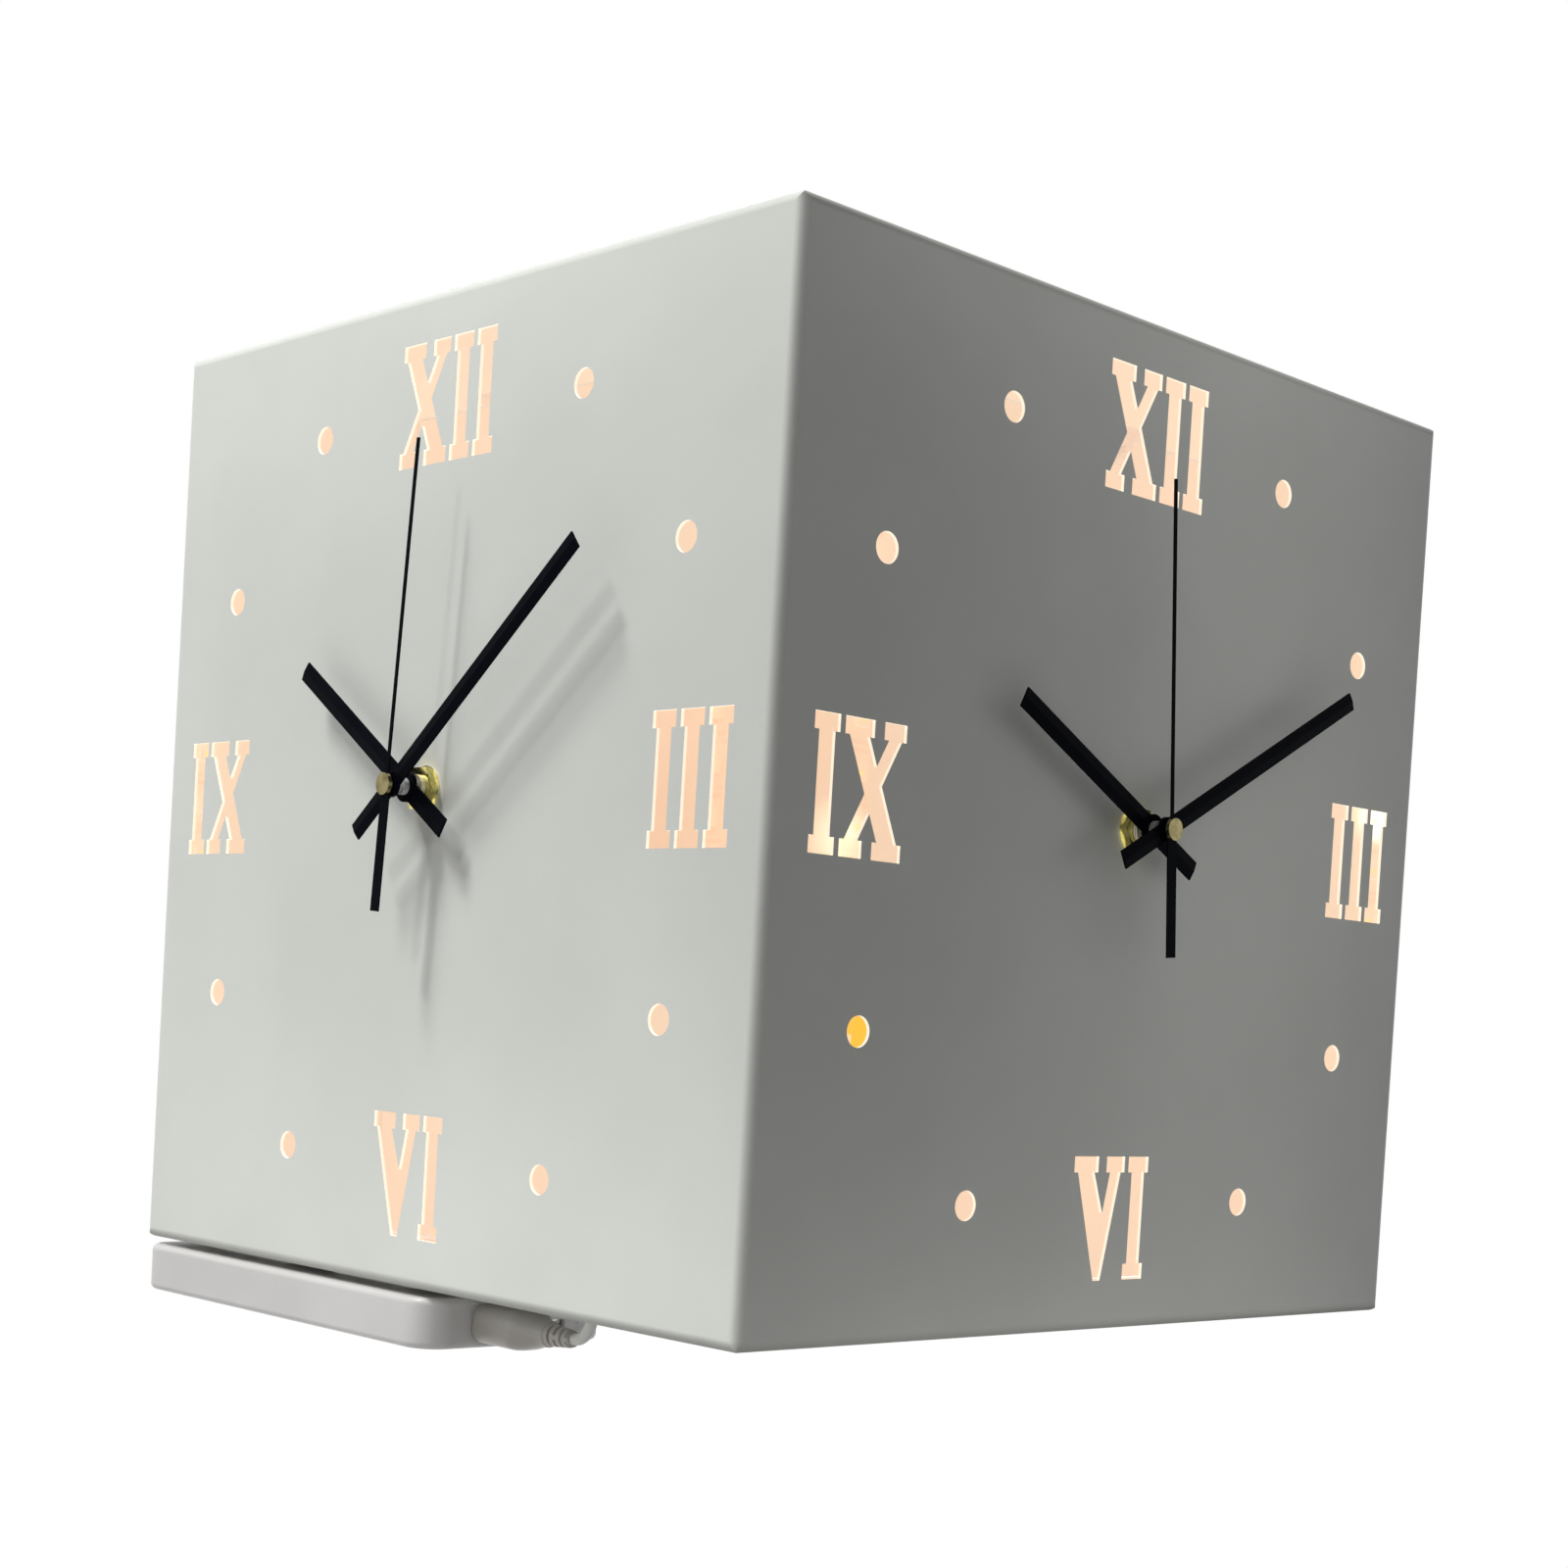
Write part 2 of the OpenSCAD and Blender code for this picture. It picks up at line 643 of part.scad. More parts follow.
module cover_screws() {
    color("silver") at_tabs() translate([0, -tab_hole_off, back_t]) {
        difference() {
            cylinder(r = screw_head_r, h = screw_head_h);
            for (a = [0, 90]) rotate(a) translate([-1.6, -0.4, screw_head_h - 0.8]) cube([3.2, 0.8, 2]);
        }
        translate([0, 0, -screw_len]) cylinder(r = screw_r, h = screw_len + 0.5);
    }
}

module keyhole_hangers() {
    color("silver") at_keyholes() translate([0, 0, -plate_in - hanger_t]) difference() {
        translate([-hanger_w / 2, hanger_low, 0]) cube([hanger_w, hanger_h, hanger_t]);
        translate([0, 0, -over]) keyhole_cut(hanger_t + 2 * over);
        for (p = rivet_spots) translate([p[0], p[1], -over])
            cylinder(r = rivet_r + seat_gap, h = hanger_t + 2 * over);
    }
}

module hanger_rivets() {
    head_h = 0.9;
    head_r = rivet_r + 1.1;
    grip = back_t + hanger_t;
    color("silver") at_keyholes() for (p = rivet_spots)
        translate([p[0], p[1], -plate_in - hanger_t]) {
            translate([0, 0, -head_h]) cylinder(r = head_r, h = head_h);
            translate([0, 0, -head_h]) cylinder(r = rivet_r, h = grip + 2 * head_h);
            translate([0, 0, grip]) cylinder(r = head_r, h = head_h);
        }
}

// A strip stands upright on XY = 0 with its back on the plane Y = 0 and its lights towards -Y
module strip_board() {
    translate([-strip_w / 2, -strip_t, 0]) cube([strip_w, strip_t, strip_len]);
}
module strip_chips() {
    count = floor(strip_len / chip_pitch);
    first = (strip_len - (count - 1) * chip_pitch) / 2;
    for (i = [0:count - 1])
        translate([-chip_w / 2, -strip_t - chip_h, first + i * chip_pitch - chip_w / 2])
            cube([chip_w, chip_h, chip_w]);
}
module at_strips() {
    both_arms() {
        translate([-strip_from_corner, -plate_in, strip_foot]) children();
        translate([-reach + sheet_t, -arm_depth + strip_behind_dial, strip_foot]) rotate(90) children();
    }
}
module light_strips() {
    color("ivory") at_strips() strip_board();
}
module light_chips() {
    color("gold") at_strips() strip_chips();
}

module link_wires() {
    color("white") both_arms() tube(link_points, link_r, [0, 0, -1]);
}

module lead_grommet() {
    lip_r = grommet_r + 1.6;
    color("dimgray") translate([grommet_x, plug_y, 0]) difference() {
        union() {
            translate([0, 0, -grommet_lip]) cylinder(r = lip_r, h = grommet_lip);
            translate([0, 0, -grommet_lip]) cylinder(r = grommet_r - seat_gap, h = sheet_t + 2 * grommet_lip);
            translate([0, 0, sheet_t]) cylinder(r = lip_r, h = grommet_lip);
        }
        translate([0, 0, -grommet_lip - over])
            cylinder(r = lead_r + seat_gap, h = sheet_t + 2 * (grommet_lip + over));
    }
}

pad_spots = [pack_x0 + pack_len * 0.3, pack_x0 + pack_len * 0.72];
module pads(z) {
    for (x = pad_spots)
        translate([x - pad_w / 2, (pack_y0 + pack_y1 - pad_w) / 2, z]) cube([pad_w, pad_w, pad_t]);
}
module hook_pads() {
    color("white") pads(-pad_t);
}
module loop_pads() {
    color("lightgray") pads(-2 * pad_t);
}

// A slab with upright corners of radius r and its long edges rounded by e
module soft_slab(lo, hi, z0, z1, r, e) {
    translate([lo[0] + r, 0, 0]) rotate([90, 0, 90]) linear_extrude(hi[0] - lo[0] - 2 * r)
        round_square([lo[1], z0], [hi[1], z1], e);
    translate([0, hi[1] - r, 0]) rotate([90, 0, 0]) linear_extrude(hi[1] - lo[1] - 2 * r)
        round_square([lo[0], z0], [hi[0], z1], e);
    for (x = [lo[0] + r, hi[0] - r], y = [lo[1] + r, hi[1] - r])
        translate([x, y, 0]) rotate_extrude() {
            translate([0, z0]) square([r - e, z1 - z0]);
            translate([0, z0 + e]) square([r, z1 - z0 - 2 * e]);
            translate([r - e, z0 + e]) circle(e);
            translate([r - e, z1 - e]) circle(e);
        }
}

light_pitch = 2;
light_r = 0.8;
light_y = pack_y0 + 57;
button_gap = 0.15;
// The pack's plan outline drawn in by inset
module pack_plan(inset) {
    round_square([pack_x0 + inset, pack_y0 + inset], [pack_x1 - inset, pack_y1 - inset],
        pack_corner_r - inset);
}
// An opening w by h through the pack's end wall
module end_wall_cut(y, z, w, h) {
    translate([pack_x1 - pack_wall - over, y - w / 2 - lid_gap, z - h / 2 - lid_gap])
        cube([pack_wall + 2 * over, w + 2 * lid_gap, h + 2 * lid_gap]);
}
module pack_case() {
    lid_low = pack_top - lid_t;
    color("gainsboro") difference() {
        soft_slab([pack_x0, pack_y0], [pack_x1, pack_y1], pack_bottom, pack_top, pack_corner_r, pack_edge_r);
        translate([0, 0, pack_bottom + pack_wall])
            linear_extrude(pack_t - pack_wall - lid_t - ledge_t) pack_plan(pack_wall);
        translate([0, 0, pack_bottom + pack_wall]) linear_extrude(pack_t) pack_plan(ledge_inset);
        translate([0, 0, lid_low]) linear_extrude(lid_t + over) pack_plan(lid_inset);
        end_wall_cut(plug_y, pack_mid, socket_w, socket_h);
        end_wall_cut(charge_y, board_z + board_t + charge_h / 2, charge_w, charge_h);
        at_lights() cylinder(r = light_r + seat_gap, h = pack_wall + 2 * over);
        translate([button_x, pack_y1 - pack_wall - over, pack_mid])
            rotate([-90, 0, 0]) cylinder(r = button_r + button_gap, h = pack_wall + 2 * over);
    }
}
module pack_lid() {
    color("white") translate([0, 0, pack_top - lid_t]) linear_extrude(lid_t) pack_plan(lid_inset + lid_gap);
}
board_x1 = pack_x1 - pack_wall - 0.3;
board_x0 = board_x1 - board_len;
module pack_cell() {
    x0 = pack_x0 + ledge_inset + 0.5;
    y0 = pack_y0 + ledge_inset + 0.5;
    color("silver") translate([x0, y0, pack_bottom + pack_wall])
        cube([board_x0 - 1.5 - x0, pack_w - 2 * (ledge_inset + 0.5), cell_t]);
}
module pack_board() {
    foot_r = 1.5;
    color("darkgreen") {
        translate([0, 0, board_z]) linear_extrude(board_t) intersection() {
            pack_plan(pack_wall + 0.3);
            translate([board_x0, pack_y0 + ledge_inset + 1])
                square([board_len, pack_w - 2 * (ledge_inset + 1)]);
        }
        for (x = [board_x0 + 3, board_x1 - 8], y = [pack_y0 + 9, pack_y1 - 9])
            translate([x, y, pack_bottom + pack_wall])
                cylinder(r = foot_r, h = board_z - pack_bottom - pack_wall + 0.1);
        translate([button_x - 3, pack_y1 - pack_wall - 7, board_z + 0.1]) cube([6, 4.4, board_t + 5]);
    }
}
socket_x0 = board_x1 - socket_len;
module pack_sockets() {
    color("silver") {
        translate([socket_x0, plug_y, pack_mid]) {
            difference() {
                translate([0, -socket_w / 2, -socket_h / 2]) cube([socket_len, socket_w, socket_h]);
                translate([1, -socket_w / 2 + socket_wall, -socket_h / 2 + socket_wall])
                    cube([socket_len, socket_w - 2 * socket_wall, socket_h - 2 * socket_wall]);
            }
            translate([0.5, -4.5, -0.9]) cube([8, 9, 1.8]);
            for (y = [-socket_w / 2, socket_w / 2 - 1])
                translate([2, y, board_z + board_t - pack_mid]) cube([4, 1, 0.5]);
        }
        translate([board_x1 - charge_len, charge_y, board_z + board_t]) difference() {
            translate([0, -charge_w / 2, 0]) cube([charge_len, charge_w, charge_h]);
            translate([1, -charge_w / 2 + 0.4, 0.4]) cube([charge_len, charge_w - 0.8, charge_h - 0.8]);
        }
    }
}
module pack_button() {
    cap_out = 0.8;
    plunger_r = 1.4;
    flange_t = 0.8;
    color("white") translate([button_x, pack_y1, pack_mid]) rotate([-90, 0, 0]) {
        translate([0, 0, -pack_wall - 0.1]) cylinder(r = button_r, h = pack_wall + cap_out + 0.1);
        translate([0, 0, -pack_wall - 0.1 - flange_t]) cylinder(r = button_r + 0.8, h = flange_t);
        translate([0, 0, -pack_wall - 2.6 + button_travel + 0.1])
            cylinder(r = plunger_r, h = 2.6 - button_travel - 0.1 - flange_t);
    }
}
module at_lights() {
    for (i = [-1.5:1:1.5])
        translate([pack_x1 - pack_wall - 0.3, light_y, pack_mid + i * light_pitch])
            rotate([0, 90, 0]) children();
}
module pack_lights() {
    color("deepskyblue") at_lights() cylinder(r = light_r, h = pack_wall + 0.3);
}

module usb_plug_shell() {
    wall = 0.3;
    tongue_room = 0.35;
    color("silver") translate([pack_x1 - plug_shell_in, plug_y, pack_mid]) difference() {
        translate([0, -plug_shell_w / 2, -plug_shell_h / 2])
            cube([plug_shell_in + plug_x0 - pack_x1, plug_shell_w, plug_shell_h]);
        translate([-over, -plug_shell_w / 2 + wall, -0.9 - tongue_room])
            cube([plug_shell_in, plug_shell_w - 2 * wall, plug_shell_h / 2 - wall + 0.9 + tongue_room]);
    }
}

// Plug body: an oval section drawn in towards the lead
module usb_plug_body() {
    shoulder = plug_len * 0.62;
    r = plug_h / 2;
    tail_h = 1;
    color("darkgray") translate([plug_x0, plug_y, pack_mid]) hull() {
        for (y = [-plug_w / 2 + r, plug_w / 2 - r])
            translate([0, y, 0]) rotate([0, 90, 0]) cylinder(r = r, h = shoulder, $fn = 32);
        translate([plug_len - tail_h, 0, 0])
            rotate([0, 90, 0]) cylinder(r = relief_r0 + 0.4, h = tail_h, $fn = 32);
    }
}

module plug_strain_relief() {
    pitch = relief_len / relief_ribs;
    rib_share = 0.6;
    core_r = lead_r + 0.3;
    rib_step = (relief_r0 - relief_r1) / (relief_ribs - 1);
    color("darkgray") translate([plug_x1, plug_y, pack_mid]) rotate([0, 90, 0]) {
        cylinder(r = core_r, h = relief_len);
        for (i = [0:relief_ribs - 1])
            translate([0, 0, i * pitch]) cylinder(r = relief_r0 - i * rib_step, h = pitch * rib_share);
    }
}

module power_lead() {
    color("gainsboro") tube(lead_points, lead_r, [1, 0, 0]);
}

nut_r = nut_flats / 2 / cos(30);
module dial_washers() {
    color("gold") on_both_dials() difference() {
        cylinder(r = washer_r, h = washer_t);
        translate([0, 0, -over]) cylinder(r = neck_r + 0.15, h = washer_t + 2 * over);
    }
}
module dial_nuts() {
    color("goldenrod") on_both_dials() translate([0, 0, washer_t]) difference() {
        cylinder(r = nut_r, h = nut_t, $fn = 6);
        translate([0, 0, -over]) cylinder(r = neck_r + running_gap, h = nut_t + 2 * over);
    }
}

// Clock board: bare board, the bead over its chip and the crystal's can
clock_board = [13, 9.5, 0.8];
clock_board_at = [-26, 16.5];
chip_bead = [2.6, 1.5];
chip_bead_at = [-18, 21];
crystal = [1, 6];
crystal_at = [-25, 18.5];
module movement_boards() {
    color("darkgreen") on_both_dials() translate([0, 0, front_in - clock_board[2]]) {
        translate(clock_board_at) cube(clock_board);
        translate([chip_bead_at[0], chip_bead_at[1], 0.1 - chip_bead[1]])
            cylinder(r = chip_bead[0], h = chip_bead[1]);
        translate([crystal_at[0], crystal_at[1], -crystal[0]])
            rotate([0, 90, 0]) cylinder(r = crystal[0], h = crystal[1]);
    }
}
module drive_coils() {
    color("peru") on_both_dials() translate([0, coil_y, stator_z - stator_t / 2]) difference() {
        union() {
            translate([coil_x[0], 0, 0])
                rotate([0, 90, 0]) cylinder(r = coil_r - 0.4, h = coil_x[1] - coil_x[0]);
            for (x = [coil_x[0], coil_x[1] - 0.8])
                translate([x, -coil_r, -coil_r]) cube([0.8, 2 * coil_r, 2 * coil_r]);
        }
        translate([coil_x[0] - over, -stator_bar / 2 - 0.1, -stator_t / 2 - 0.1])
            cube([coil_x[1] - coil_x[0] + 2 * over, stator_bar + 0.2, stator_t + 0.2]);
    }
}
module stator_outline() {
    mid = coil_y - stator_bar / 2;
    difference() {
        union() {
            translate([stator_left, mid]) square([stator_right - stator_left, stator_bar]);
            translate([stator_left, lower_bar_y]) square([3, coil_y - lower_bar_y]);
            translate([stator_left, lower_bar_y]) square([rotor_at[0] - stator_left, 1.8]);
            translate([stator_right - 3, rotor_at[1] - 1.3]) square([3, coil_y - rotor_at[1]]);
            translate([rotor_at[0], rotor_at[1] - 1.3]) square([stator_right - rotor_at[0], 2.6]);
            translate(rotor_at) circle(pole_r);
        }
        translate(rotor_at) circle(pole_hole_r);
    }
}
module drive_stators() {
    color("slategray") on_both_dials() translate([0, 0, stator_z - stator_t])
        linear_extrude(stator_t) stator_outline();
}

// Contacts: one flat strip and one dished strip at the ends of the battery bay
contact_w = 9;
contact_dish_r = 2.2;
module battery_contacts() {
    x_end = case_half - case_wall;
    dish = x_end - contact_t - cell_len / 2;
    color("silver") on_both_dials() for (s = [-1, 1])
        translate([s * (x_end - contact_t / 2), cell_y, cell_z]) {
            cube([contact_t, contact_w, contact_w], center = true);
            rotate([0, -90 * s, 0]) cylinder(r = contact_dish_r, h = dish + contact_t / 2 - seat_gap);
        }
}
cell_nub_r = 2.7;
module aa_cells() {
    color("royalblue") on_both_dials() translate([-cell_len / 2, cell_y, cell_z]) rotate([0, 90, 0]) {
        cylinder(r = cell_r, h = cell_len - cell_nub);
        cylinder(r = cell_nub_r, h = cell_len);
    }
}

module case_outline(inset) {
    r = 3;
    h = case_half - inset;
    round_square([-h, -h], [h, h], r - inset);
}
module blind_bearing(at, r) {
    translate([at[0], at[1], front_in]) cylinder(r = r + running_gap, h = bearing_depth);
}
post_spots = [[stator_left + 1.5, coil_y], [stator_right - 1.5, coil_y]];
module movement_case() {
    color("black") {
        difference() {
            union() {
                translate([0, 0, cover_in]) linear_extrude(-sheet_t - cover_in) difference() {
                    case_outline(0);
                    case_outline(case_wall);
                }
                translate([0, 0, front_in]) linear_extrude(case_wall) case_outline(0);
                translate([0, 0, front_in]) cylinder(r = neck_r, h = neck_top - front_in);
            }
            translate([0, 0, front_in - over])
                cylinder(r = hour_pipe_r + running_gap, h = neck_top - front_in + 2 * over);
            blind_bearing(third_at, third_arbor_r);
            blind_bearing(intermediate_at, intermediate_arbor_r);
            blind_bearing(rotor_at, rotor_arbor_r);
            blind_bearing(knob_at, knob_arbor_r);
        }
        translate([-case_half + case_wall / 2, bay_top - bay_wall, cover_in])
            cube([case_size - case_wall, bay_wall, front_in - cover_in + case_wall / 2]);
        translate([minute_at[0], minute_at[1], layer[1] - wheel_t / 2 - 0.2])
            cylinder(r = stud_r, h = front_in - layer[1] + wheel_t / 2 + 0.2 + case_wall / 2);
        for (p = post_spots)
            translate([p[0], p[1], stator_z]) cylinder(r = post_r, h = front_in - stator_z + case_wall / 2);
    }
}
module cover_bearing(at, r) {
    translate([at[0], at[1], cover_in - bearing_depth])
        cylinder(r = r + running_gap, h = bearing_depth + over);
}
module movement_cover() {
    color("dimgray") difference() {
        translate([0, 0, cover_out]) linear_extrude(case_wall) intersection() {
            case_outline(0);
            translate([-case_half, bay_top - bay_wall]) square([case_size, case_size]);
        }
        cover_bearing([0, 0], seconds_arbor_r);
        cover_bearing(third_at, third_arbor_r);
        cover_bearing(intermediate_at, intermediate_arbor_r);
        cover_bearing(rotor_at, rotor_arbor_r);
        translate([knob_at[0], knob_at[1], cover_out - over])
            cylinder(r = knob_arbor_r + running_gap, h = case_wall + 2 * over);
    }
}

// Teeth are straight-sided, with room on both flanks
tip_height = 0.75;
root_depth = 0.95;
tip_share = 0.09;
pitch_share = 0.19;
root_share = 0.26;
module gear_outline(teeth, m, turn) {
    r = teeth * m / 2;
    p = 360 / teeth;
    rotate(turn) polygon([for (i = [0:teeth - 1]) each [
        polar(r - root_depth * m, (i - root_share) * p),
        polar(r, (i - pitch_share) * p),
        polar(r + tip_height * m, (i - tip_share) * p),
        polar(r + tip_height * m, (i + tip_share) * p),
        polar(r, (i + pitch_share) * p),
        polar(r - root_depth * m, (i + root_share) * p)]]);
}
module wheel(level, teeth, m, turn) {
    translate([0, 0, layer[level] - wheel_t / 2]) linear_extrude(wheel_t) gear_outline(teeth, m, turn);
}
module pinion(level, teeth, m, turn) {
    translate([0, 0, layer[level] - pinion_t / 2]) linear_extrude(pinion_t) gear_outline(teeth, m, turn);
}
module full_arbor(r) {
    low = cover_in - bearing_end;
    translate([0, 0, low]) cylinder(r = r, h = front_in + bearing_end - low);
}

module rotor() {
    color("dimgray") translate([rotor_at[0], rotor_at[1], 0]) {
        full_arbor(rotor_arbor_r);
        pinion(5, rotor_teeth, rotor_module, rotor_turn);
        translate([0, 0, stator_z - stator_t / 2 - magnet_h / 2]) cylinder(r = magnet_r, h = magnet_h);
    }
}
module intermediate_wheel() {
    color("white") translate([intermediate_at[0], intermediate_at[1], 0]) {
        full_arbor(intermediate_arbor_r);
        wheel(5, intermediate_teeth, rotor_module, 0);
        pinion(4, rotor_teeth, seconds_module, intermediate_pinion_turn);
    }
}
module seconds_wheel() {
    low = cover_in - bearing_end;
    color("white") {
        translate([0, 0, low]) cylinder(r = seconds_arbor_r, h = cap_top - 1 - low);
        wheel(4, seconds_teeth, seconds_module, 0);
        pinion(3, leaf_teeth, seconds_module, 0);
    }
}
module third_wheel() {
    color("white") translate([third_at[0], third_at[1], 0]) {
        full_arbor(third_arbor_r);
        wheel(3, seconds_teeth, seconds_module, third_turn);
        pinion(2, leaf_teeth, centre_module, 0);
    }
}
minute_pipe_low = layer[2] - pinion_t / 2;
module centre_wheel() {
    hub_r = minute_pipe_r + 1.2;
    color("white") difference() {
        union() {
            wheel(2, centre_teeth, centre_module, centre_turn);
            translate([0, 0, minute_pipe_low]) cylinder(r = hub_r, h = pinion_t);
        }
        translate([0, 0, minute_pipe_low - over])
            cylinder(r = minute_pipe_r + running_gap, h = pinion_t + 2 * over);
    }
}
module minute_pipe() {
    color("lightgray") difference() {
        union() {
            translate([0, 0, minute_pipe_low])
                cylinder(r = minute_pipe_r, h = minute_z + hand_t + 0.4 - minute_pipe_low);
            pinion(1, cannon_teeth, minute_module, 0);
        }
        translate([0, 0, minute_pipe_low - over])
            cylinder(r = seconds_arbor_r + running_gap, h = minute_z + 2 - minute_pipe_low + 2 * over);
    }
}
module minute_wheel() {
    color("white") translate([minute_at[0], minute_at[1], 0]) difference() {
        union() {
            wheel(1, minute_teeth, minute_module, minute_turn);
            pinion(0, reverser_teeth, hour_module, 0);
            translate([0, 0, layer[1]]) cylinder(r = stud_r + 0.45, h = layer[0] - layer[1]);
        }
        translate([0, 0, layer[1] - wheel_t])
            cylinder(r = stud_r + running_gap, h = front_in - layer[1] + wheel_t + over);
    }
}
module hour_wheel() {
    color("lightgray") difference() {
        union() {
            wheel(0, hour_teeth, hour_module, hour_turn);
            translate([0, 0, layer[0] - wheel_t / 2])
                cylinder(r = hour_pipe_r, h = hour_z + hand_t + hour_pipe_over - layer[0] + wheel_t / 2);
        }
        translate([0, 0, layer[0] - wheel_t])
            cylinder(r = minute_pipe_r + running_gap,
                h = hour_z + hand_t + hour_pipe_over - layer[0] + wheel_t + over);
    }
}
module setting_knob() {
    flutes = 12;
    top = front_in + bearing_end;
    low = cover_out - 0.6 - knob_h;
    color("white") translate([knob_at[0], knob_at[1], 0]) {
        translate([0, 0, low]) cylinder(r = knob_arbor_r, h = top - low);
        pinion(1, cannon_teeth, minute_module, knob_turn);
        translate([0, 0, low]) linear_extrude(knob_h) difference() {
            circle(knob_r);
            for (i = [0:flutes - 1]) rotate(360 * i / flutes) translate([knob_r + 0.5, 0]) circle(1);
        }
    }
}

// A creased bar along Y from -tail to tip, its back on the plane Z = 0
module hand_bar(w, tip, tail) {
    translate([0, tip, 0]) rotate([90, 0, 0]) linear_extrude(tip + tail)
        polygon([[-w / 2, 0], [w / 2, 0], [w / 2, hand_t], [0, hand_t + hand_crease], [-w / 2, hand_t]]);
}
hub_t = 1.3;
module hour_hand(angle) {
    color("black") rotate(-angle) translate([0, 0, hour_z]) difference() {
        union() {
            hand_bar(hour_w, hour_tip, hour_tail);
            translate([0, 0, -0.4]) cylinder(r = hour_pipe_r + 2, h = hub_t);
        }
        translate([0, 0, -over]) cylinder(r = hour_pipe_r + seat_gap, h = hub_t + 2 * over);
    }
}
module minute_hand(angle) {
    color("black") rotate(-angle) translate([0, 0, minute_z]) difference() {
        union() {
            hand_bar(minute_w, minute_tip, minute_tail);
            translate([0, 0, -0.4]) cylinder(r = minute_pipe_r + 2, h = hub_t);
        }
        translate([0, 0, -over]) cylinder(r = minute_pipe_r + seat_gap, h = hub_t + 2 * over);
    }
}
cap_stem_r = 1.5;
module second_hand(angle) {
    color("black") rotate(-angle) translate([0, 0, second_z]) linear_extrude(second_t) difference() {
        union() {
            translate([-second_w / 2, 0]) square([second_w, second_tip]);
            translate([-second_tail_w / 2, -second_tail]) square([second_tail_w, second_tail]);
            circle(cap_stem_r + 1.2);
        }
        circle(cap_stem_r + seat_gap);
    }
}
module second_cap() {
    stem_low = second_z - 0.5;
    color("goldenrod") difference() {
        union() {
            translate([0, 0, stem_low]) cylinder(r = cap_stem_r, h = cap_top - stem_low);
            translate([0, 0, second_z + second_t]) cylinder(r = cap_r, h = cap_top - second_z - second_t);
        }
        translate([0, 0, stem_low - over])
            cylinder(r = seconds_arbor_r + seat_gap, h = cap_top - 0.9 - stem_low + over);
    }
}

housing();
mounting_tabs();
back_plate();
cover_screws();
keyhole_hangers();
hanger_rivets();
light_strips();
light_chips();
link_wires();
lead_grommet();
hook_pads();
loop_pads();
pack_case();
pack_lid();
pack_cell();
pack_board();
pack_sockets();
pack_button();
pack_lights();
usb_plug_shell();
usb_plug_body();
plug_strain_relief();
power_lead();
dial_washers();
dial_nuts();
movement_boards();
drive_coils();
drive_stators();
battery_contacts();
aa_cells();
on_front() movement_case();  // front_movement_case
on_front() movement_cover();  // front_movement_cover
on_front() rotor();  // front_rotor
on_front() intermediate_wheel();  // front_intermediate_wheel
on_front() seconds_wheel();  // front_seconds_wheel
on_front() third_wheel();  // front_third_wheel
on_front() centre_wheel();  // front_centre_wheel
on_front() minute_pipe();  // front_minute_pipe
on_front() minute_wheel();  // front_minute_wheel
on_front() hour_wheel();  // front_hour_wheel
on_front() setting_knob();  // front_setting_knob
on_front() hour_hand(front_angles[0]);  // front_hour_hand
on_front() minute_hand(front_angles[1]);  // front_minute_hand
on_front() second_hand(front_angles[2]);  // front_second_hand
on_front() second_cap();  // front_second_cap
on_side() movement_case();  // side_movement_case
on_side() movement_cover();  // side_movement_cover
on_side() rotor();  // side_rotor
on_side() intermediate_wheel();  // side_intermediate_wheel
on_side() seconds_wheel();  // side_seconds_wheel
on_side() third_wheel();  // side_third_wheel
on_side() centre_wheel();  // side_centre_wheel
on_side() minute_pipe();  // side_minute_pipe
on_side() minute_wheel();  // side_minute_wheel
on_side() hour_wheel();  // side_hour_wheel
on_side() setting_knob();  // side_setting_knob
on_side() hour_hand(side_angles[0]);  // side_hour_hand
on_side() minute_hand(side_angles[1]);  // side_minute_hand
on_side() second_hand(side_angles[2]);  // side_second_hand
on_side() second_cap();  // side_second_cap
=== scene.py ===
# %% [markdown]
# # A lit corner clock
# The clock is one folded steel housing that wraps the outer corner of a wall, with a dial on each of its
# two faces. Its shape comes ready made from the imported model, and this lesson dresses it: first the
# camera and the cords, then the moulded and textile pieces that need finer surfaces, then a finish for
# every part, and last the floor and the lamps.

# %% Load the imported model
import json
import math

import bpy
import numpy as np
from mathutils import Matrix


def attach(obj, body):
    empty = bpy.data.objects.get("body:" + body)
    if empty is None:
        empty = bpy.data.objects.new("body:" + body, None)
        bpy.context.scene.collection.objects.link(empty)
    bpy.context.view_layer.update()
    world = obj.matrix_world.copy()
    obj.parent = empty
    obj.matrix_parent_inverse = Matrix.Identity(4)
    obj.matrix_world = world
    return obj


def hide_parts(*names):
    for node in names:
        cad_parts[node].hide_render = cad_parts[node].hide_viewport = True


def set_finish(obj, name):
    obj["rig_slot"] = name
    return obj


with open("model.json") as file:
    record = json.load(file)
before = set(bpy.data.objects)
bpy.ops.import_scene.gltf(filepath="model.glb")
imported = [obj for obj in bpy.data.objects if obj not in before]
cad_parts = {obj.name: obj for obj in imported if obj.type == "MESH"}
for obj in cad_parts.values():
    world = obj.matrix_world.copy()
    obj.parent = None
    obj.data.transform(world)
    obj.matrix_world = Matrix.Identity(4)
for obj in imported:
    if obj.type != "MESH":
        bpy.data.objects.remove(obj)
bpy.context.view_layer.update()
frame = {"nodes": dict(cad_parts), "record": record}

parts = frame["nodes"]
MM = 0.001

# %% [markdown]
# ## The camera
# The photograph looks at the corner from a little under half height, so both dials recede. The six
# corners of the housing and thirteen hour dots fix the camera: its place, its turn and its lens. The
# lens axis meets the picture below its middle, as in a cropped photograph, and the shift gives the same
# framing.

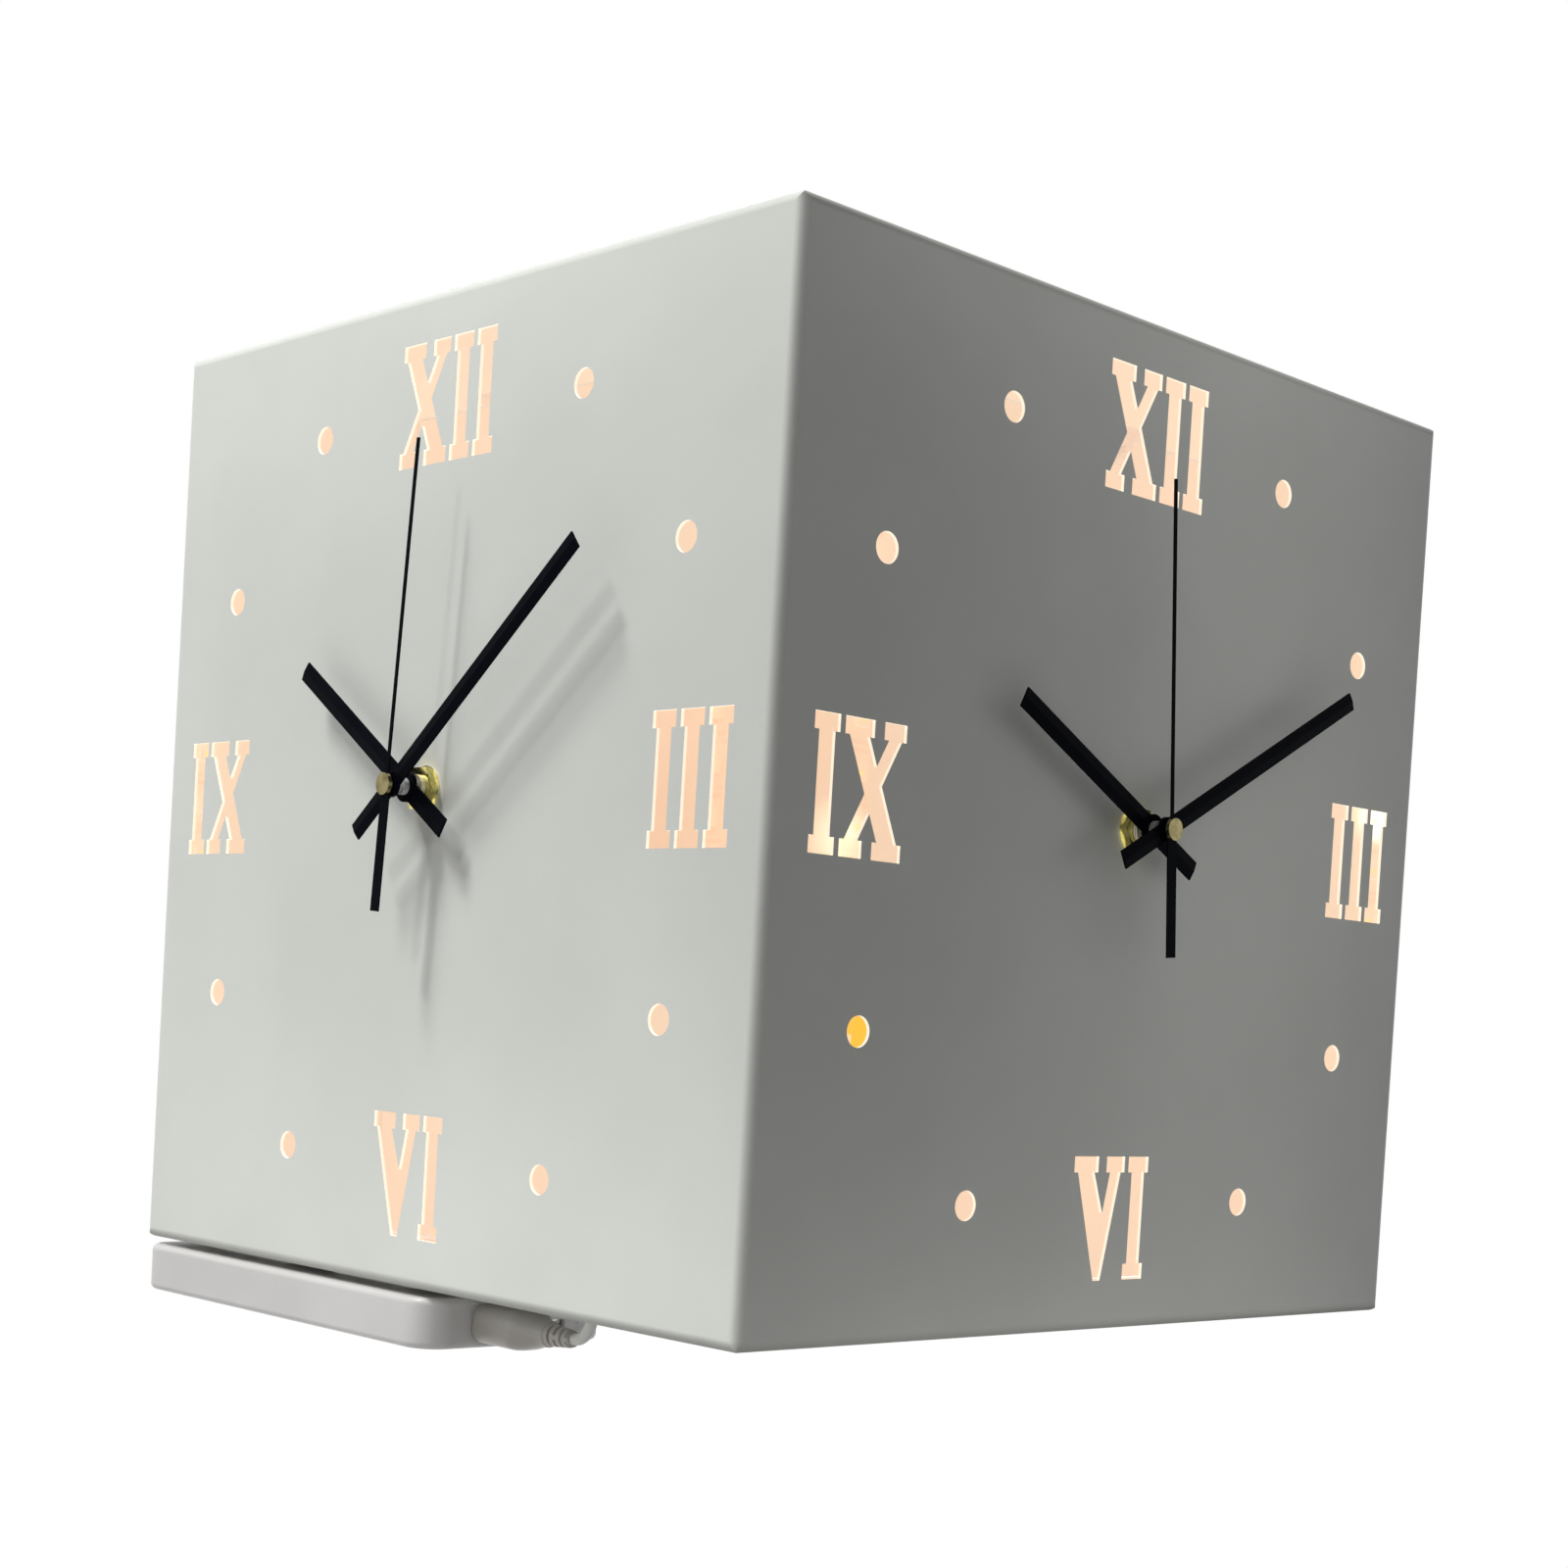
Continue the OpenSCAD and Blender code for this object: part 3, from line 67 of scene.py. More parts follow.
# %% Set the camera
CAMERA_AT = (0.54873, -0.52164, 0.08467)
CAMERA_TURN = (88.235, -3.401, 46.111)
LENS, SENSOR, SHIFT_UP = 57.373, 36.0, 0.1989
NEAREST, FARTHEST = 0.01, 50.0

lens = bpy.data.cameras.new("lens")
lens.lens, lens.sensor_width, lens.shift_y = LENS, SENSOR, SHIFT_UP
lens.clip_start, lens.clip_end = NEAREST, FARTHEST
camera = bpy.data.objects.new("camera", lens)
camera.location = CAMERA_AT
camera.rotation_euler = [math.radians(a) for a in CAMERA_TURN]
bpy.context.scene.collection.objects.link(camera)
bpy.context.scene.camera = camera
print("camera at", CAMERA_AT, "lens", LENS, "mm")

# %% [markdown]
# ## Cords
# A thin lead runs from the plug's strain relief up through a grommet in the housing's floor, drops onto
# the floor in one low loop and rises to the foot of the light strip at the wall corner. Inside, a flat
# twin wire joins the feet of the two strips of each arm. Both repeat the centrelines of the solid
# model. A curve object could do it, but a mesh carried along the path can have a moulded seam and a
# twin section, so each cord is a section swept along a smooth path.

# %% Routes of the cords
PLUG_Y, PLUG_Z = -71.5, -9.5
PLUG_START, PLUG_END, RELIEF_END = -34.7, -7.2, 2.8
GROMMET_X, LEAD_BEND, LEAD_FLOOR = 10.3, 7.5, 2.9
LEAD_LAST = np.array([-25.0, -6.45, 19.0])

angle = np.radians(np.linspace(0, 90, 6))
bend = np.stack([RELIEF_END + LEAD_BEND * np.sin(angle), np.full(6, PLUG_Y),
                 PLUG_Z + LEAD_BEND * (1 - np.cos(angle))], 1)
rise_and_loop = np.array([
    [0, 0, -1.5], [0, 0, 2.5], [0, 0.3, 5.5], [0, 1.6, 9.5], [-1, 5, 13], [-3, 11, 14.2], [-5, 17, 12],
    [-7, 22, 8], [-10, 27, 4.6], [-15, 33, LEAD_FLOOR], [-21, 39, LEAD_FLOOR], [-26, 45, LEAD_FLOOR],
    [-30, 50, LEAD_FLOOR + 0.6]]) + np.array([GROMMET_X, PLUG_Y, 0])
foot = LEAD_LAST + np.array([[-3, -6, -14], [-1, -1.5, -10], [0, 0, -5.5], [0, 0, 0]])
lead_route = np.concatenate([bend, rise_and_loop, foot]) * MM

WIRE_FLOOR = 2.05
wire_first, wire_last = np.array([-30.0, -5.6, 19.0]), np.array([-192.4, -83.0, 19.0])
DROP = WIRE_FLOOR - wire_first[2]
from_first = np.array([[0, 0, 0], [0, 0, -6], [-1, -2, -11], [-4, -5.9, DROP + 1.2], [-9, -11.4, DROP],
                       [-16, -15.4, DROP], [-39, -17.4, DROP], [-64, -17.4, DROP]])
to_last = np.array([[67.4, 59, DROP], [42.4, 56, DROP], [24.4, 47, DROP], [12.4, 31, DROP],
                    [6.4, 17, DROP + 0.3], [2.4, 7, DROP + 2], [0.6, 1, -9], [0, 0, -5], [0, 0, 0]])
wire_route = np.concatenate([wire_first + from_first, wire_last + to_last]) * MM
other_arm = np.array([[0, -1, 0], [-1, 0, 0], [0, 0, 1]])
print("lead route", len(lead_route), "points, wire route", len(wire_route), "points")

# %% [markdown]
# A route of few points is made smooth before anything is swept along it. A cubic through the points,
# with each point's heading taken from its two neighbours, keeps to the route and never overshoots it
# by more than a fraction of a millimetre.

# %% Smooth a route and carry a section along it
def smooth_path(route, step):
    """Cubic Hermite curve through the route: p = h00 a + h10 ta + h01 b + h11 tb on each stretch,
    with headings (next - previous) / 2, sampled about every step metres."""
    heading = np.gradient(route, axis=0)
    pieces = []
    for a, b, ta, tb in zip(route[:-1], route[1:], heading[:-1], heading[1:]):
        n = max(2, int(round(np.linalg.norm(b - a) / step)))
        t = (np.arange(n) / n)[:, None]
        pieces.append((2 * t**3 - 3 * t**2 + 1) * a + (t**3 - 2 * t**2 + t) * ta
                      + (3 * t**2 - 2 * t**3) * b + (t**3 - t**2) * tb)
    return np.concatenate(pieces + [route[-1:]])


def side_vectors(path, first_side):
    """Two directions square to the path at each of its points. The first is carried from point to
    point: what is left of the last one after its share along the new heading is taken out."""
    heading = np.gradient(path, axis=0)
    heading /= np.linalg.norm(heading, axis=1)[:, None]
    side = np.empty_like(path)
    last = np.array(first_side, float)
    for i, h in enumerate(heading):
        last = last - h * (last @ h)
        last /= np.linalg.norm(last)
        side[i] = last
    return side, np.cross(heading, side)


def run_along(path):
    """Distance along the path at each of its points. The last one is the path's length."""
    return np.concatenate([[0], np.cumsum(np.linalg.norm(np.diff(path, axis=0), axis=1))])


def turns(count):
    """A row of angles evenly round, one for each column of a grid."""
    return np.linspace(0, 2 * np.pi, count, endpoint=False)[None, :]


LEAD_STEP, WIRE_STEP = 0.8 * MM, 1.5 * MM
lead_path, wire_path = smooth_path(lead_route, LEAD_STEP), smooth_path(wire_route, WIRE_STEP)
lead_run, wire_run = run_along(lead_path), run_along(wire_path)
print("lead %.1f mm, each link wire %.1f mm" % (lead_run[-1] / MM, wire_run[-1] / MM))

# %% [markdown]
# Every new surface here is a grid of points, rows along and columns round, closed round the columns
# and capped at both ends. One function turns such a grid into a mesh with a UV map that holds metres
# along and the share round, so that a pattern can follow the piece.

# %% Turn a grid of points into a closed piece
new_pieces = []


def grid_faces(rows, cols):
    """Row and column of each face's first point, and the faces: they join each point to its
    neighbours in its row and in the next row, and the columns wrap."""
    i, j = np.meshgrid(np.arange(rows - 1), np.arange(cols), indexing="ij")
    k = (j + 1) % cols
    faces = np.stack([i * cols + j, i * cols + k, (i + 1) * cols + k, (i + 1) * cols + j], -1)
    return i, j, faces.reshape(-1, 4)


def grid_piece(name, grid, slot, smooth=True, along=None):
    """The grid's faces, and a fan from the middle of the first and of the last row to close it."""
    rows, cols = grid.shape[:2]
    i, j, quads = grid_faces(rows, cols)
    here = np.arange(cols)
    there = (here + 1) % cols
    middle, last_row = rows * cols, (rows - 1) * cols
    first = np.stack([np.full(cols, middle), there, here], 1)
    last = np.stack([np.full(cols, middle + 1), last_row + here, last_row + there], 1)
    points = np.concatenate([grid.reshape(-1, 3), [grid[0].mean(0)], [grid[-1].mean(0)]])
    mesh = bpy.data.meshes.new(name)
    mesh.from_pydata(points.tolist(), [], quads.tolist() + first.tolist() + last.tolist())
    s = np.arange(rows) * MM if along is None else along
    corners = ((i, j), (i, j + 1), (i + 1, j + 1), (i + 1, j))
    uv_quads = np.stack([np.stack([s[row], col / cols], -1) for row, col in corners], 2)
    uv_ends = np.repeat([[s[0], 0.5], [s[-1], 0.5]], 3 * cols, axis=0)
    uv = np.concatenate([uv_quads.reshape(-1, 2), uv_ends]).astype(np.float32)
    mesh.uv_layers.new(name="along").data.foreach_set("uv", uv.ravel())
    mesh.polygons.foreach_set("use_smooth", np.full(len(mesh.polygons), smooth))
    piece = bpy.data.objects.new(name, mesh)
    bpy.context.scene.collection.objects.link(piece)
    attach(piece, "clock")
    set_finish(piece, slot)
    new_pieces.append(piece)
    return piece


def sweep(path, first_side, section):
    """Grid of the points p + a side + b up, where section is (a, b) for each turn round the path."""
    side, up = side_vectors(path, first_side)
    a, b = section
    return path[:, None, :] + a[..., None] * side[:, None, :] + b[..., None] * up[:, None, :]


print("surfaces are grids of points")

# %% [markdown]
# The lead's sheath is round, with the faint flat seam that an extruded soft sheath has, and the twin
# wire is two round sheaths joined by a web, the usual section of light strip wire.

# %% The power lead
LEAD_R = 1.75 * MM
SEAM_DEPTH, SEAM_HALF_TURN = 0.025, 0.16


def lead_section(turn):
    """Circle of the lead's radius, drawn in by 2.5 % in a narrow seam on one side:
    r = R (1 - depth exp(-((turn - pi) / half)^2))."""
    r = LEAD_R * (1 - SEAM_DEPTH * np.exp(-((turn - np.pi) / SEAM_HALF_TURN) ** 2))
    return r * np.cos(turn), r * np.sin(turn)


lead_grid = sweep(lead_path, (0, 0, 1), lead_section(turns(28)))
lead = grid_piece("power_lead_sheath", lead_grid, "lead_sheath", along=lead_run)
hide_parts("power_lead")
print("lead sheath", len(lead.data.polygons), "faces")

# %% The link wires
WIRE_R = 0.9 * MM
FLATNESS, WAIST = 0.62, 0.62


def twin_section(turn):
    """Two round cores side by side: the width is the full radius, and the height is
    flatness sin (waist + (1 - waist) |cos|^0.7), which leaves a web at the waist."""
    c, s = np.cos(turn), np.sin(turn)
    return WIRE_R * c, WIRE_R * FLATNESS * s * (WAIST + (1 - WAIST) * np.abs(c) ** 0.7)


wires = []
for arm, mirror in (("front", np.eye(3)), ("side", other_arm)):
    path = wire_path @ mirror.T
    grid = sweep(path, mirror @ np.array([1.0, 0, 0]), twin_section(turns(24)))
    wire = grid_piece(arm + "_link_wire", grid, "wire_sheath", along=wire_run)
    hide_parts("link_wires")
    wires.append(wire)
print("link wires", [len(w.data.polygons) for w in wires], "faces")

# %% [markdown]
# ## The plug and its strain relief
# The plug is a soft moulding: a flat oval grip that narrows to the lead, with a parting line round its
# middle and shallow finger grooves. A loft of superellipses, one for each station along it, gives that
# in one closed skin. The strain relief is a stack of rings, each open on alternate sides, on a core
# that tapers to the lead.

# %% The plug's moulded body
PLUG_W, PLUG_H, THROAT_R = 16.0, 12.0, 3.8
NOSE, TAIL_AT, TAIL, TAPER_AT, TAPER_LONG = 0.8, 26.8, 0.7, 15.5, 11.5
BOXY, ROUND = 3.2, 2.0
GROOVE_DEPTH, GROOVE_HALF = 0.16, 0.035
RIDGES_AT, RIDGE_PITCH, RIDGE_DEPTH = 6.0, 1.9, 0.22


def ease(t):
    """Smooth step 3t2 - 2t3 between 0 and 1."""
    t = np.clip(t, 0, 1)
    return t * t * (3 - 2 * t)


def superellipse(c, s, power):
    """Distance from the middle to |x|^power + |y|^power = 1 along the heading (c, s)."""
    return (np.abs(c) ** power + np.abs(s) ** power) ** (-1 / power)


def on_plug_axis(x, y, z):
    """Grid in metres of the points x along the plug's axis and y, z off it, all in millimetres."""
    return np.stack([np.broadcast_to(x, y.shape), PLUG_Y + y, PLUG_Z + z], -1) * MM


def plug_surface(x):
    """Superellipses |y / a|^p + |z / b|^p = 1. Along the taper a and b go over to the throat's radius
    and p to 2. The parting groove is a narrow bell at z = 0, and the ridges are waves on the flats."""
    taper = ease((x - TAPER_AT) / TAPER_LONG)
    nose, tail = np.clip(x / NOSE, 0, 1), np.clip((x - TAIL_AT) / TAIL, 0, 1)
    end_round = 1 - 0.09 * (1 - nose) ** 2 - 0.10 * tail ** 2
    half_w = (PLUG_W / 2 * (1 - taper) + THROAT_R * taper) * end_round
    half_h = (PLUG_H / 2 * (1 - taper) + THROAT_R * taper) * end_round
    c, s = np.cos(turns(96)), np.sin(turns(96))
    oval = superellipse(c, s, BOXY * (1 - taper) + ROUND * taper)
    groove = GROOVE_DEPTH * np.exp(-((s * oval) / GROOVE_HALF) ** 2) * (np.abs(c) > 0.3)
    wave = 0.5 - 0.5 * np.cos(2 * np.pi * (x - RIDGES_AT) / RIDGE_PITCH)
    ridges = RIDGE_DEPTH * wave * ((x > RIDGES_AT) & (x < TAPER_AT))
    flat = np.clip((np.abs(s) * oval - 0.75) / 0.2, 0, 1) * np.clip((0.62 - np.abs(c) * oval) / 0.25, 0, 1)
    y = half_w * c * oval * (1 - groove / half_w)
    return on_plug_axis(PLUG_START + x, y, half_h * s * oval - np.sign(s) * ridges * flat)


stretches = ((0, NOSE, 7), (1.2, 26.6, 96), (TAIL_AT, TAIL_AT + TAIL, 7))
stations = np.concatenate([np.linspace(*stretch) for stretch in stretches])
plug = grid_piece("plug_grip", plug_surface(stations[:, None]), "plug_plastic", along=stations * MM)
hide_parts("usb_plug_body")
print("plug grip", len(plug.data.polygons), "faces")

# %% The ribbed strain relief
RELIEF_R0, RELIEF_R1, CORE_R = 3.4, 2.5, 2.15
RELIEF_LONG = RELIEF_END - PLUG_END
RIB_PITCH, GAP_FROM, GAP_TO, SOFT = 2.5, 0.56, 0.9, 0.1


def relief_surface(x):
    """Cone r = R0 + (R1 - R0) x / long, cut down to the core in the gap behind each ring. A gap is
    open on two sides, which turn a quarter from ring to ring, and the far end is drawn in."""
    turn = turns(64)
    cone = RELIEF_R0 + (RELIEF_R1 - RELIEF_R0) * x / RELIEF_LONG
    rib = x / RIB_PITCH
    phase = rib % 1
    in_gap = np.clip(ease((phase - GAP_FROM) / SOFT) - ease((phase - GAP_TO) / SOFT), 0, 1)
    quarter = (np.floor(rib) % 2) * np.pi / 2
    side_open = ease((np.abs(np.cos(turn + quarter)) - 0.18) / 0.2)
    r = cone - (cone - CORE_R) * in_gap * side_open
    r = r * (1 - 0.08 * np.clip((x - 9.6) / 0.4, 0, 1) ** 2)
    return on_plug_axis(PLUG_END + x, r * np.cos(turn), r * np.sin(turn))


relief_at = np.linspace(0, RELIEF_LONG, 161)
relief_grid = relief_surface(relief_at[:, None])
relief = grid_piece("strain_relief_ribs", relief_grid, "plug_plastic", along=relief_at * MM)
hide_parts("plug_strain_relief")
print("strain relief", len(relief.data.polygons), "faces")

# %% [markdown]
# ## Hook and loop pads
# Two pairs of pads hold the battery pack under the housing. Each is a woven base with a field of hooks
# or loops. One hook is a small bent tube, and the field is the same tube added to a grid of places,
# worked out as one array.

# %% One hook and one loop
HOOK_R, LOOP_R, TUBE_SIDES = 0.09, 0.06, 4


def bristle(x, z, r):
    """Points and faces of a thin tube along the path (x, 0, z), closed at both ends."""
    turn = turns(TUBE_SIDES)
    tube = sweep(np.stack([x, 0 * x, z], 1), (0, 1, 0), (r * np.cos(turn), r * np.sin(turn)))
    end = np.arange(TUBE_SIDES)
    caps = np.array([end[::-1], (len(x) - 1) * TUBE_SIDES + end])
    return tube.reshape(-1, 3), np.concatenate([grid_faces(len(x), TUBE_SIDES)[2], caps])


t = np.linspace(0, 1, 6)
hook_z = -0.36 * np.sin(np.pi * np.minimum(t * 0.72, 0.75))
hook_form, hook_faces = bristle(0.22 * ease((t - 0.35) / 0.6) - 0.05, hook_z, HOOK_R)
loop_form, loop_faces = bristle(0.42 * np.cos(np.pi * t), 0.38 * np.sin(np.pi * t), LOOP_R)
print("a hook has", len(hook_faces), "faces")

# %% Lay the pads
PAD_SIDE, PAD_PITCH, PAD_MARGIN = 45.0, 2.2, 3.0
CORNER_POWER, RIM, RIM_IN = 14, 0.08, 0.1
HOOK_BASE, HOOK_FOOT, HOOK_SEED = (-0.55, 0.0), -0.53, 3
LOOP_BASE, LOOP_FOOT, LOOP_SEED = (-2.0, -1.45), -1.47, 13
PACK_X0, PACK_LEN, PACK_FRONT, PACK_W = -195.0, 160.0, -96.5, 70.0
PAD_X = (PACK_X0 + PACK_LEN * 0.3, PACK_X0 + PACK_LEN * 0.72)
PAD_MID_Y = PACK_FRONT + PACK_W / 2


def pad_base(x, z_low, z_high):
    """Closed slab with softly rounded corners: a superellipse of power 14, with its rims drawn in."""
    c, s = np.cos(turns(120)), np.sin(turns(120))
    r = superellipse(c, s, CORNER_POWER) * PAD_SIDE / 2 - np.array([RIM_IN, 0, 0, RIM_IN])[:, None]
    level = np.array([z_low, z_low + RIM, z_high - RIM, z_high])[:, None]
    return np.stack([x + r * c, PAD_MID_Y + r * s, np.broadcast_to(level, r.shape)], -1) * MM


def add_field(piece, form, faces, x, z, seed):
    """The same bristle at each place of a grid, turned by chance, joined to the pad's mesh."""
    rng = np.random.default_rng(seed)
    n = int((PAD_SIDE - PAD_MARGIN) / PAD_PITCH) + 1
    u = (np.arange(n) - (n - 1) / 2) * PAD_PITCH
    px, py = (g.ravel() for g in np.meshgrid(u, u))
    a = rng.uniform(-0.35, 0.35, n * n) + np.pi * (np.arange(n * n) % 2)
    ca, sa = np.cos(a)[:, None], np.sin(a)[:, None]
    points = np.stack([x + px[:, None] + form[None, :, 0] * ca - form[None, :, 1] * sa,
                       PAD_MID_Y + py[:, None] + form[None, :, 0] * sa + form[None, :, 1] * ca,
                       z + form[None, :, 2] + 0 * ca], -1).reshape(-1, 3) * MM
    mesh = piece.data
    base_points = np.array([v.co for v in mesh.vertices])
    base_faces = [list(p.vertices) for p in mesh.polygons]
    shifted = (faces[None] + len(base_points) + np.arange(n * n)[:, None, None] * len(form)).reshape(-1, 4)
    mesh.clear_geometry()
    mesh.from_pydata(np.concatenate([base_points, points]).tolist(), [], base_faces + shifted.tolist())
    mesh.polygons.foreach_set("use_smooth", np.full(len(mesh.polygons), True))


for i, x in enumerate(PAD_X):
    hook = grid_piece("hook_pad_%d" % (i + 1), pad_base(x, *HOOK_BASE), "hook_nylon", smooth=False)
    add_field(hook, hook_form, hook_faces, x, HOOK_FOOT, HOOK_SEED + i)
    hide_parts("hook_pads")
    loop = grid_piece("loop_pad_%d" % (i + 1), pad_base(x, *LOOP_BASE), "loop_nylon", smooth=False)
    add_field(loop, loop_form, loop_faces, x + PAD_PITCH / 2, LOOP_FOOT, LOOP_SEED + i)
    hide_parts("loop_pads")
print("pads laid, hook pad", len(hook.data.polygons), "faces")

# %% [markdown]
# ## Finishes
# Each finish is a small tree of nodes. Helpers keep the cells short: one starts a finish with its
# constant values set straight on the shader, one adds a node and wires its inputs, and the others are
# sums, noise and waves made with it.

# %% Start a finish and add nodes
finishes = {}
GLOW = 0.335
GIVES_NUMBER = ("DOT_PRODUCT", "DISTANCE")
ARMS_PART_AT = 0.05


def start_finish(name, **constants):
    """Tree and shader of a new finish, with constants such as roughness on the shader."""
    material = bpy.data.materials.new(name)
    material.use_nodes = True
    finishes[name] = material
    shader = material.node_tree.nodes["Principled BSDF"]
    for socket, value in constants.items():
        shader.inputs[socket.replace("_", " ")].default_value = value
    return material.node_tree, shader


def add(tree, kind, inputs=(), **settings):
    """Adds a node of that kind. inputs maps a socket to a number, a colour or another node's output."""
    node = tree.nodes.new(kind)
    for key, value in settings.items():
        setattr(node, key, value)
    for socket, value in dict(inputs).items():
        if isinstance(value, bpy.types.NodeSocket):
            tree.links.new(value, node.inputs[socket])
        else:
            node.inputs[socket].default_value = value
    return node


def math_node(tree, operation, a, b=0.0, c=0.0):
    """One sum on numbers: operation(a, b, c)."""
    return add(tree, "ShaderNodeMath", {0: a, 1: b, 2: c}, operation=operation).outputs[0]


def shorthand(operation):
    """A function that does this one sum on two numbers."""
    return lambda tree, a, b: math_node(tree, operation, a, b)


times, plus, minus, over = map(shorthand, ("MULTIPLY", "ADD", "SUBTRACT", "DIVIDE"))
larger, smaller, above, below = map(shorthand, ("MAXIMUM", "MINIMUM", "GREATER_THAN", "LESS_THAN"))


def hypotenuse(tree, a, b):
    """Root of a squared plus b squared."""
    squares = [math_node(tree, "POWER", side, 2.0) for side in (a, b)]
    return math_node(tree, "SQRT", plus(tree, *squares))


def vector_node(tree, operation, a, b):
    """One sum on vectors, which gives a number for a distance or a dot product."""
    node = add(tree, "ShaderNodeVectorMath", {0: a, 1: b}, operation=operation)
    return node.outputs["Value" if operation in GIVES_NUMBER else "Vector"]


def position(tree):
    """The point in its piece's own frame, which is the clock's frame at rest, in metres."""
    return add(tree, "ShaderNodeTexCoord").outputs["Object"]


def axes(tree, vector=None):
    """The x, y and z of a vector, or else of the point."""
    split = add(tree, "ShaderNodeSeparateXYZ", {0: vector or position(tree)})
    return [split.outputs[axis] for axis in "XYZ"]


def centred(tree, centre):
    """The point measured from a centre, so that rings can be laid round it."""
    return vector_node(tree, "SUBTRACT", position(tree), centre)


def by_dial(tree, front, side):
    """The number front on the left dial's arm and side on the right dial's."""
    on_side = above(tree, axes(tree)[0], ARMS_PART_AT)
    return plus(tree, times(tree, side, on_side), times(tree, front, minus(tree, 1.0, on_side)))


def blend(tree, share, a, b):
    """Colour a where share is 0 and colour b where it is 1."""
    node = add(tree, "ShaderNodeMix", data_type="RGBA", blend_type="MIX")
    for index, value in ((0, share), (6, a), (7, b)):
        if isinstance(value, bpy.types.NodeSocket):
            tree.links.new(value, node.inputs[index])
        else:
            node.inputs[index].default_value = value if index == 0 else (*value, 1.0)
    return node.outputs[2]


def speckle(tree, size, detail=2.0, where=None):
    """Soft noise whose blobs are about size metres across."""
    inputs = {"Vector": where or position(tree), "Scale": 1.0 / size, "Detail": detail, "Roughness": 0.5}
    return add(tree, "ShaderNodeTexNoise", inputs).outputs["Fac"]


def waves(tree, scale, distortion=0.0, where=None, **kind):
    """Waves from 0 to 1. kind says whether they are bands or rings, and their direction."""
    inputs = {"Vector": where or position(tree), "Scale": scale, "Distortion": distortion}
    return add(tree, "ShaderNodeTexWave", inputs, **kind).outputs["Fac"]


def spread(tree, value, low, high, to_low=0.0, to_high=1.0):
    """Stretches value from low..high to to_low..to_high, held at both ends."""
    return add(tree, "ShaderNodeMapRange", {"Value": value, "From Min": low, "From Max": high,
                                            "To Min": to_low, "To Max": to_high}).outputs["Result"]


def even_out(tree, noise, to_low=0.0, to_high=1.0):
    """Noise seldom leaves 0.3 to 0.7, so that range is stretched to to_low..to_high."""
    return spread(tree, noise, 0.3, 0.7, to_low, to_high)


def emboss(tree, shader, height, depth, strength):
    """Bump: height from 0 to 1 stands for depth metres."""
    bump = add(tree, "ShaderNodeBump", {"Height": height, "Distance": depth, "Strength": strength})
    tree.links.new(bump.outputs["Normal"], shader.inputs["Normal"])


def paint(tree, shader, colour, roughness=None):
    """Wires a colour and, if given, a roughness into the shader."""
    tree.links.new(colour, shader.inputs["Base Color"])
    if roughness is not None:
        tree.links.new(roughness, shader.inputs["Roughness"])


def shine(tree, shader, colour):
    """The piece gives off that colour, at the strength that all the lit pieces share."""
    tree.links.new(colour, shader.inputs["Emission Color"])
    shader.inputs["Emission Strength"].default_value = GLOW


print("helpers ready")

# %% [markdown]
# ### Warm light inside the housing
# The strips light the white inside of the housing, and that is what shows through the numerals. Light
# that bounces in a closed box is slow and grainy to trace, so the inner faces carry most of the glow
# themselves. An inner face is one whose normal points back to the middle of the sheet metal box. The
# point is first held inside a box 5 mm smaller; the step left over, times the normal, is negative on
# inner faces, positive on outer faces and about zero on the cut edges of the numerals.

# %% Masks and colours of the glow
HEIGHT, SHRINK = 0.29, 0.005
INSIDE_LOW, INSIDE_HIGH = (-0.190, -0.090, 0.005), (0.090, 0.190, 0.285)
PEACH, CREAM = (1.0, 0.68, 0.515), (1.02, 0.75, 0.58)
ROSE, DEEP_PEACH = (1.0, 0.70, 0.54), (1.06, 0.555, 0.35)
HOT, GLARE, CUT_EDGE = (1.9, 1.75, 1.15), (3.3, 3.2, 2.7), (2.0, 1.7, 1.35)
HAZE, HAZE_NEAR, HAZE_FAR = 0.08, 0.006, 0.030
# Colour and glow of a spot of painted yellow chip light on the wall beside one strip
YELLOW_LIGHT_SPOT, YELLOW_LIGHT_SPOT_GLOW = (0.80, 0.54, 0.06), (1.22, 0.70, 0.08)
STRIP_AXES = [(-0.194, -0.083, 0), (-0.027, -0.004, 0), (0.083, 0.194, 0), (0.004, 0.027, 0)]
HOT_SPOTS = [(0.004, 0.021, 0.141), (0.083, 0.194, 0.166)]
HOT_RADIUS = 0.015
GLARE_AT, GLARE_RADIUS = (0.0845, 0.193, 0.1635), 0.010
YELLOW_LIGHT_SPOT_AT, YELLOW_LIGHT_SPOT_RADIUS = (0.004, 0.0340, 0.082), 0.0085
DEEP_AT, DEEP_NEAR, DEEP_FAR = (-0.036, -0.004, 0.155), 0.03, 0.07


def glow_masks(tree):
    """(inner face mask, cut edge mask), each 0 or 1."""
    held = vector_node(tree, "MAXIMUM", position(tree), INSIDE_LOW)
    held = vector_node(tree, "MINIMUM", held, INSIDE_HIGH)
    out = vector_node(tree, "SUBTRACT", position(tree), held)
    normal = add(tree, "ShaderNodeTexCoord").outputs["Normal"]
    lean = over(tree, vector_node(tree, "DOT_PRODUCT", out, normal), SHRINK)
    even = math_node(tree, "COMPARE", lean, 0.0, 0.25)
    x, y, _ = axes(tree, out)
    dial = larger(tree, above(tree, x, SHRINK / 2), below(tree, y, -SHRINK / 2))
    return below(tree, lean, -0.25), times(tree, even, dial)


def strip_distance(tree):
    """Level distance from the nearest light strip."""
    flat_point = vector_node(tree, "MULTIPLY", position(tree), (1, 1, 0))
    nearest, *others = [vector_node(tree, "DISTANCE", flat_point, axis) for axis in STRIP_AXES]
    for other in others:
        nearest = smaller(tree, nearest, other)
    return nearest


def spot_mask(tree, at, radius):
    """1 within half the radius of that point, falling to 0 at the radius."""
    return spread(tree, vector_node(tree, "DISTANCE", position(tree), at), radius, radius * 0.5)


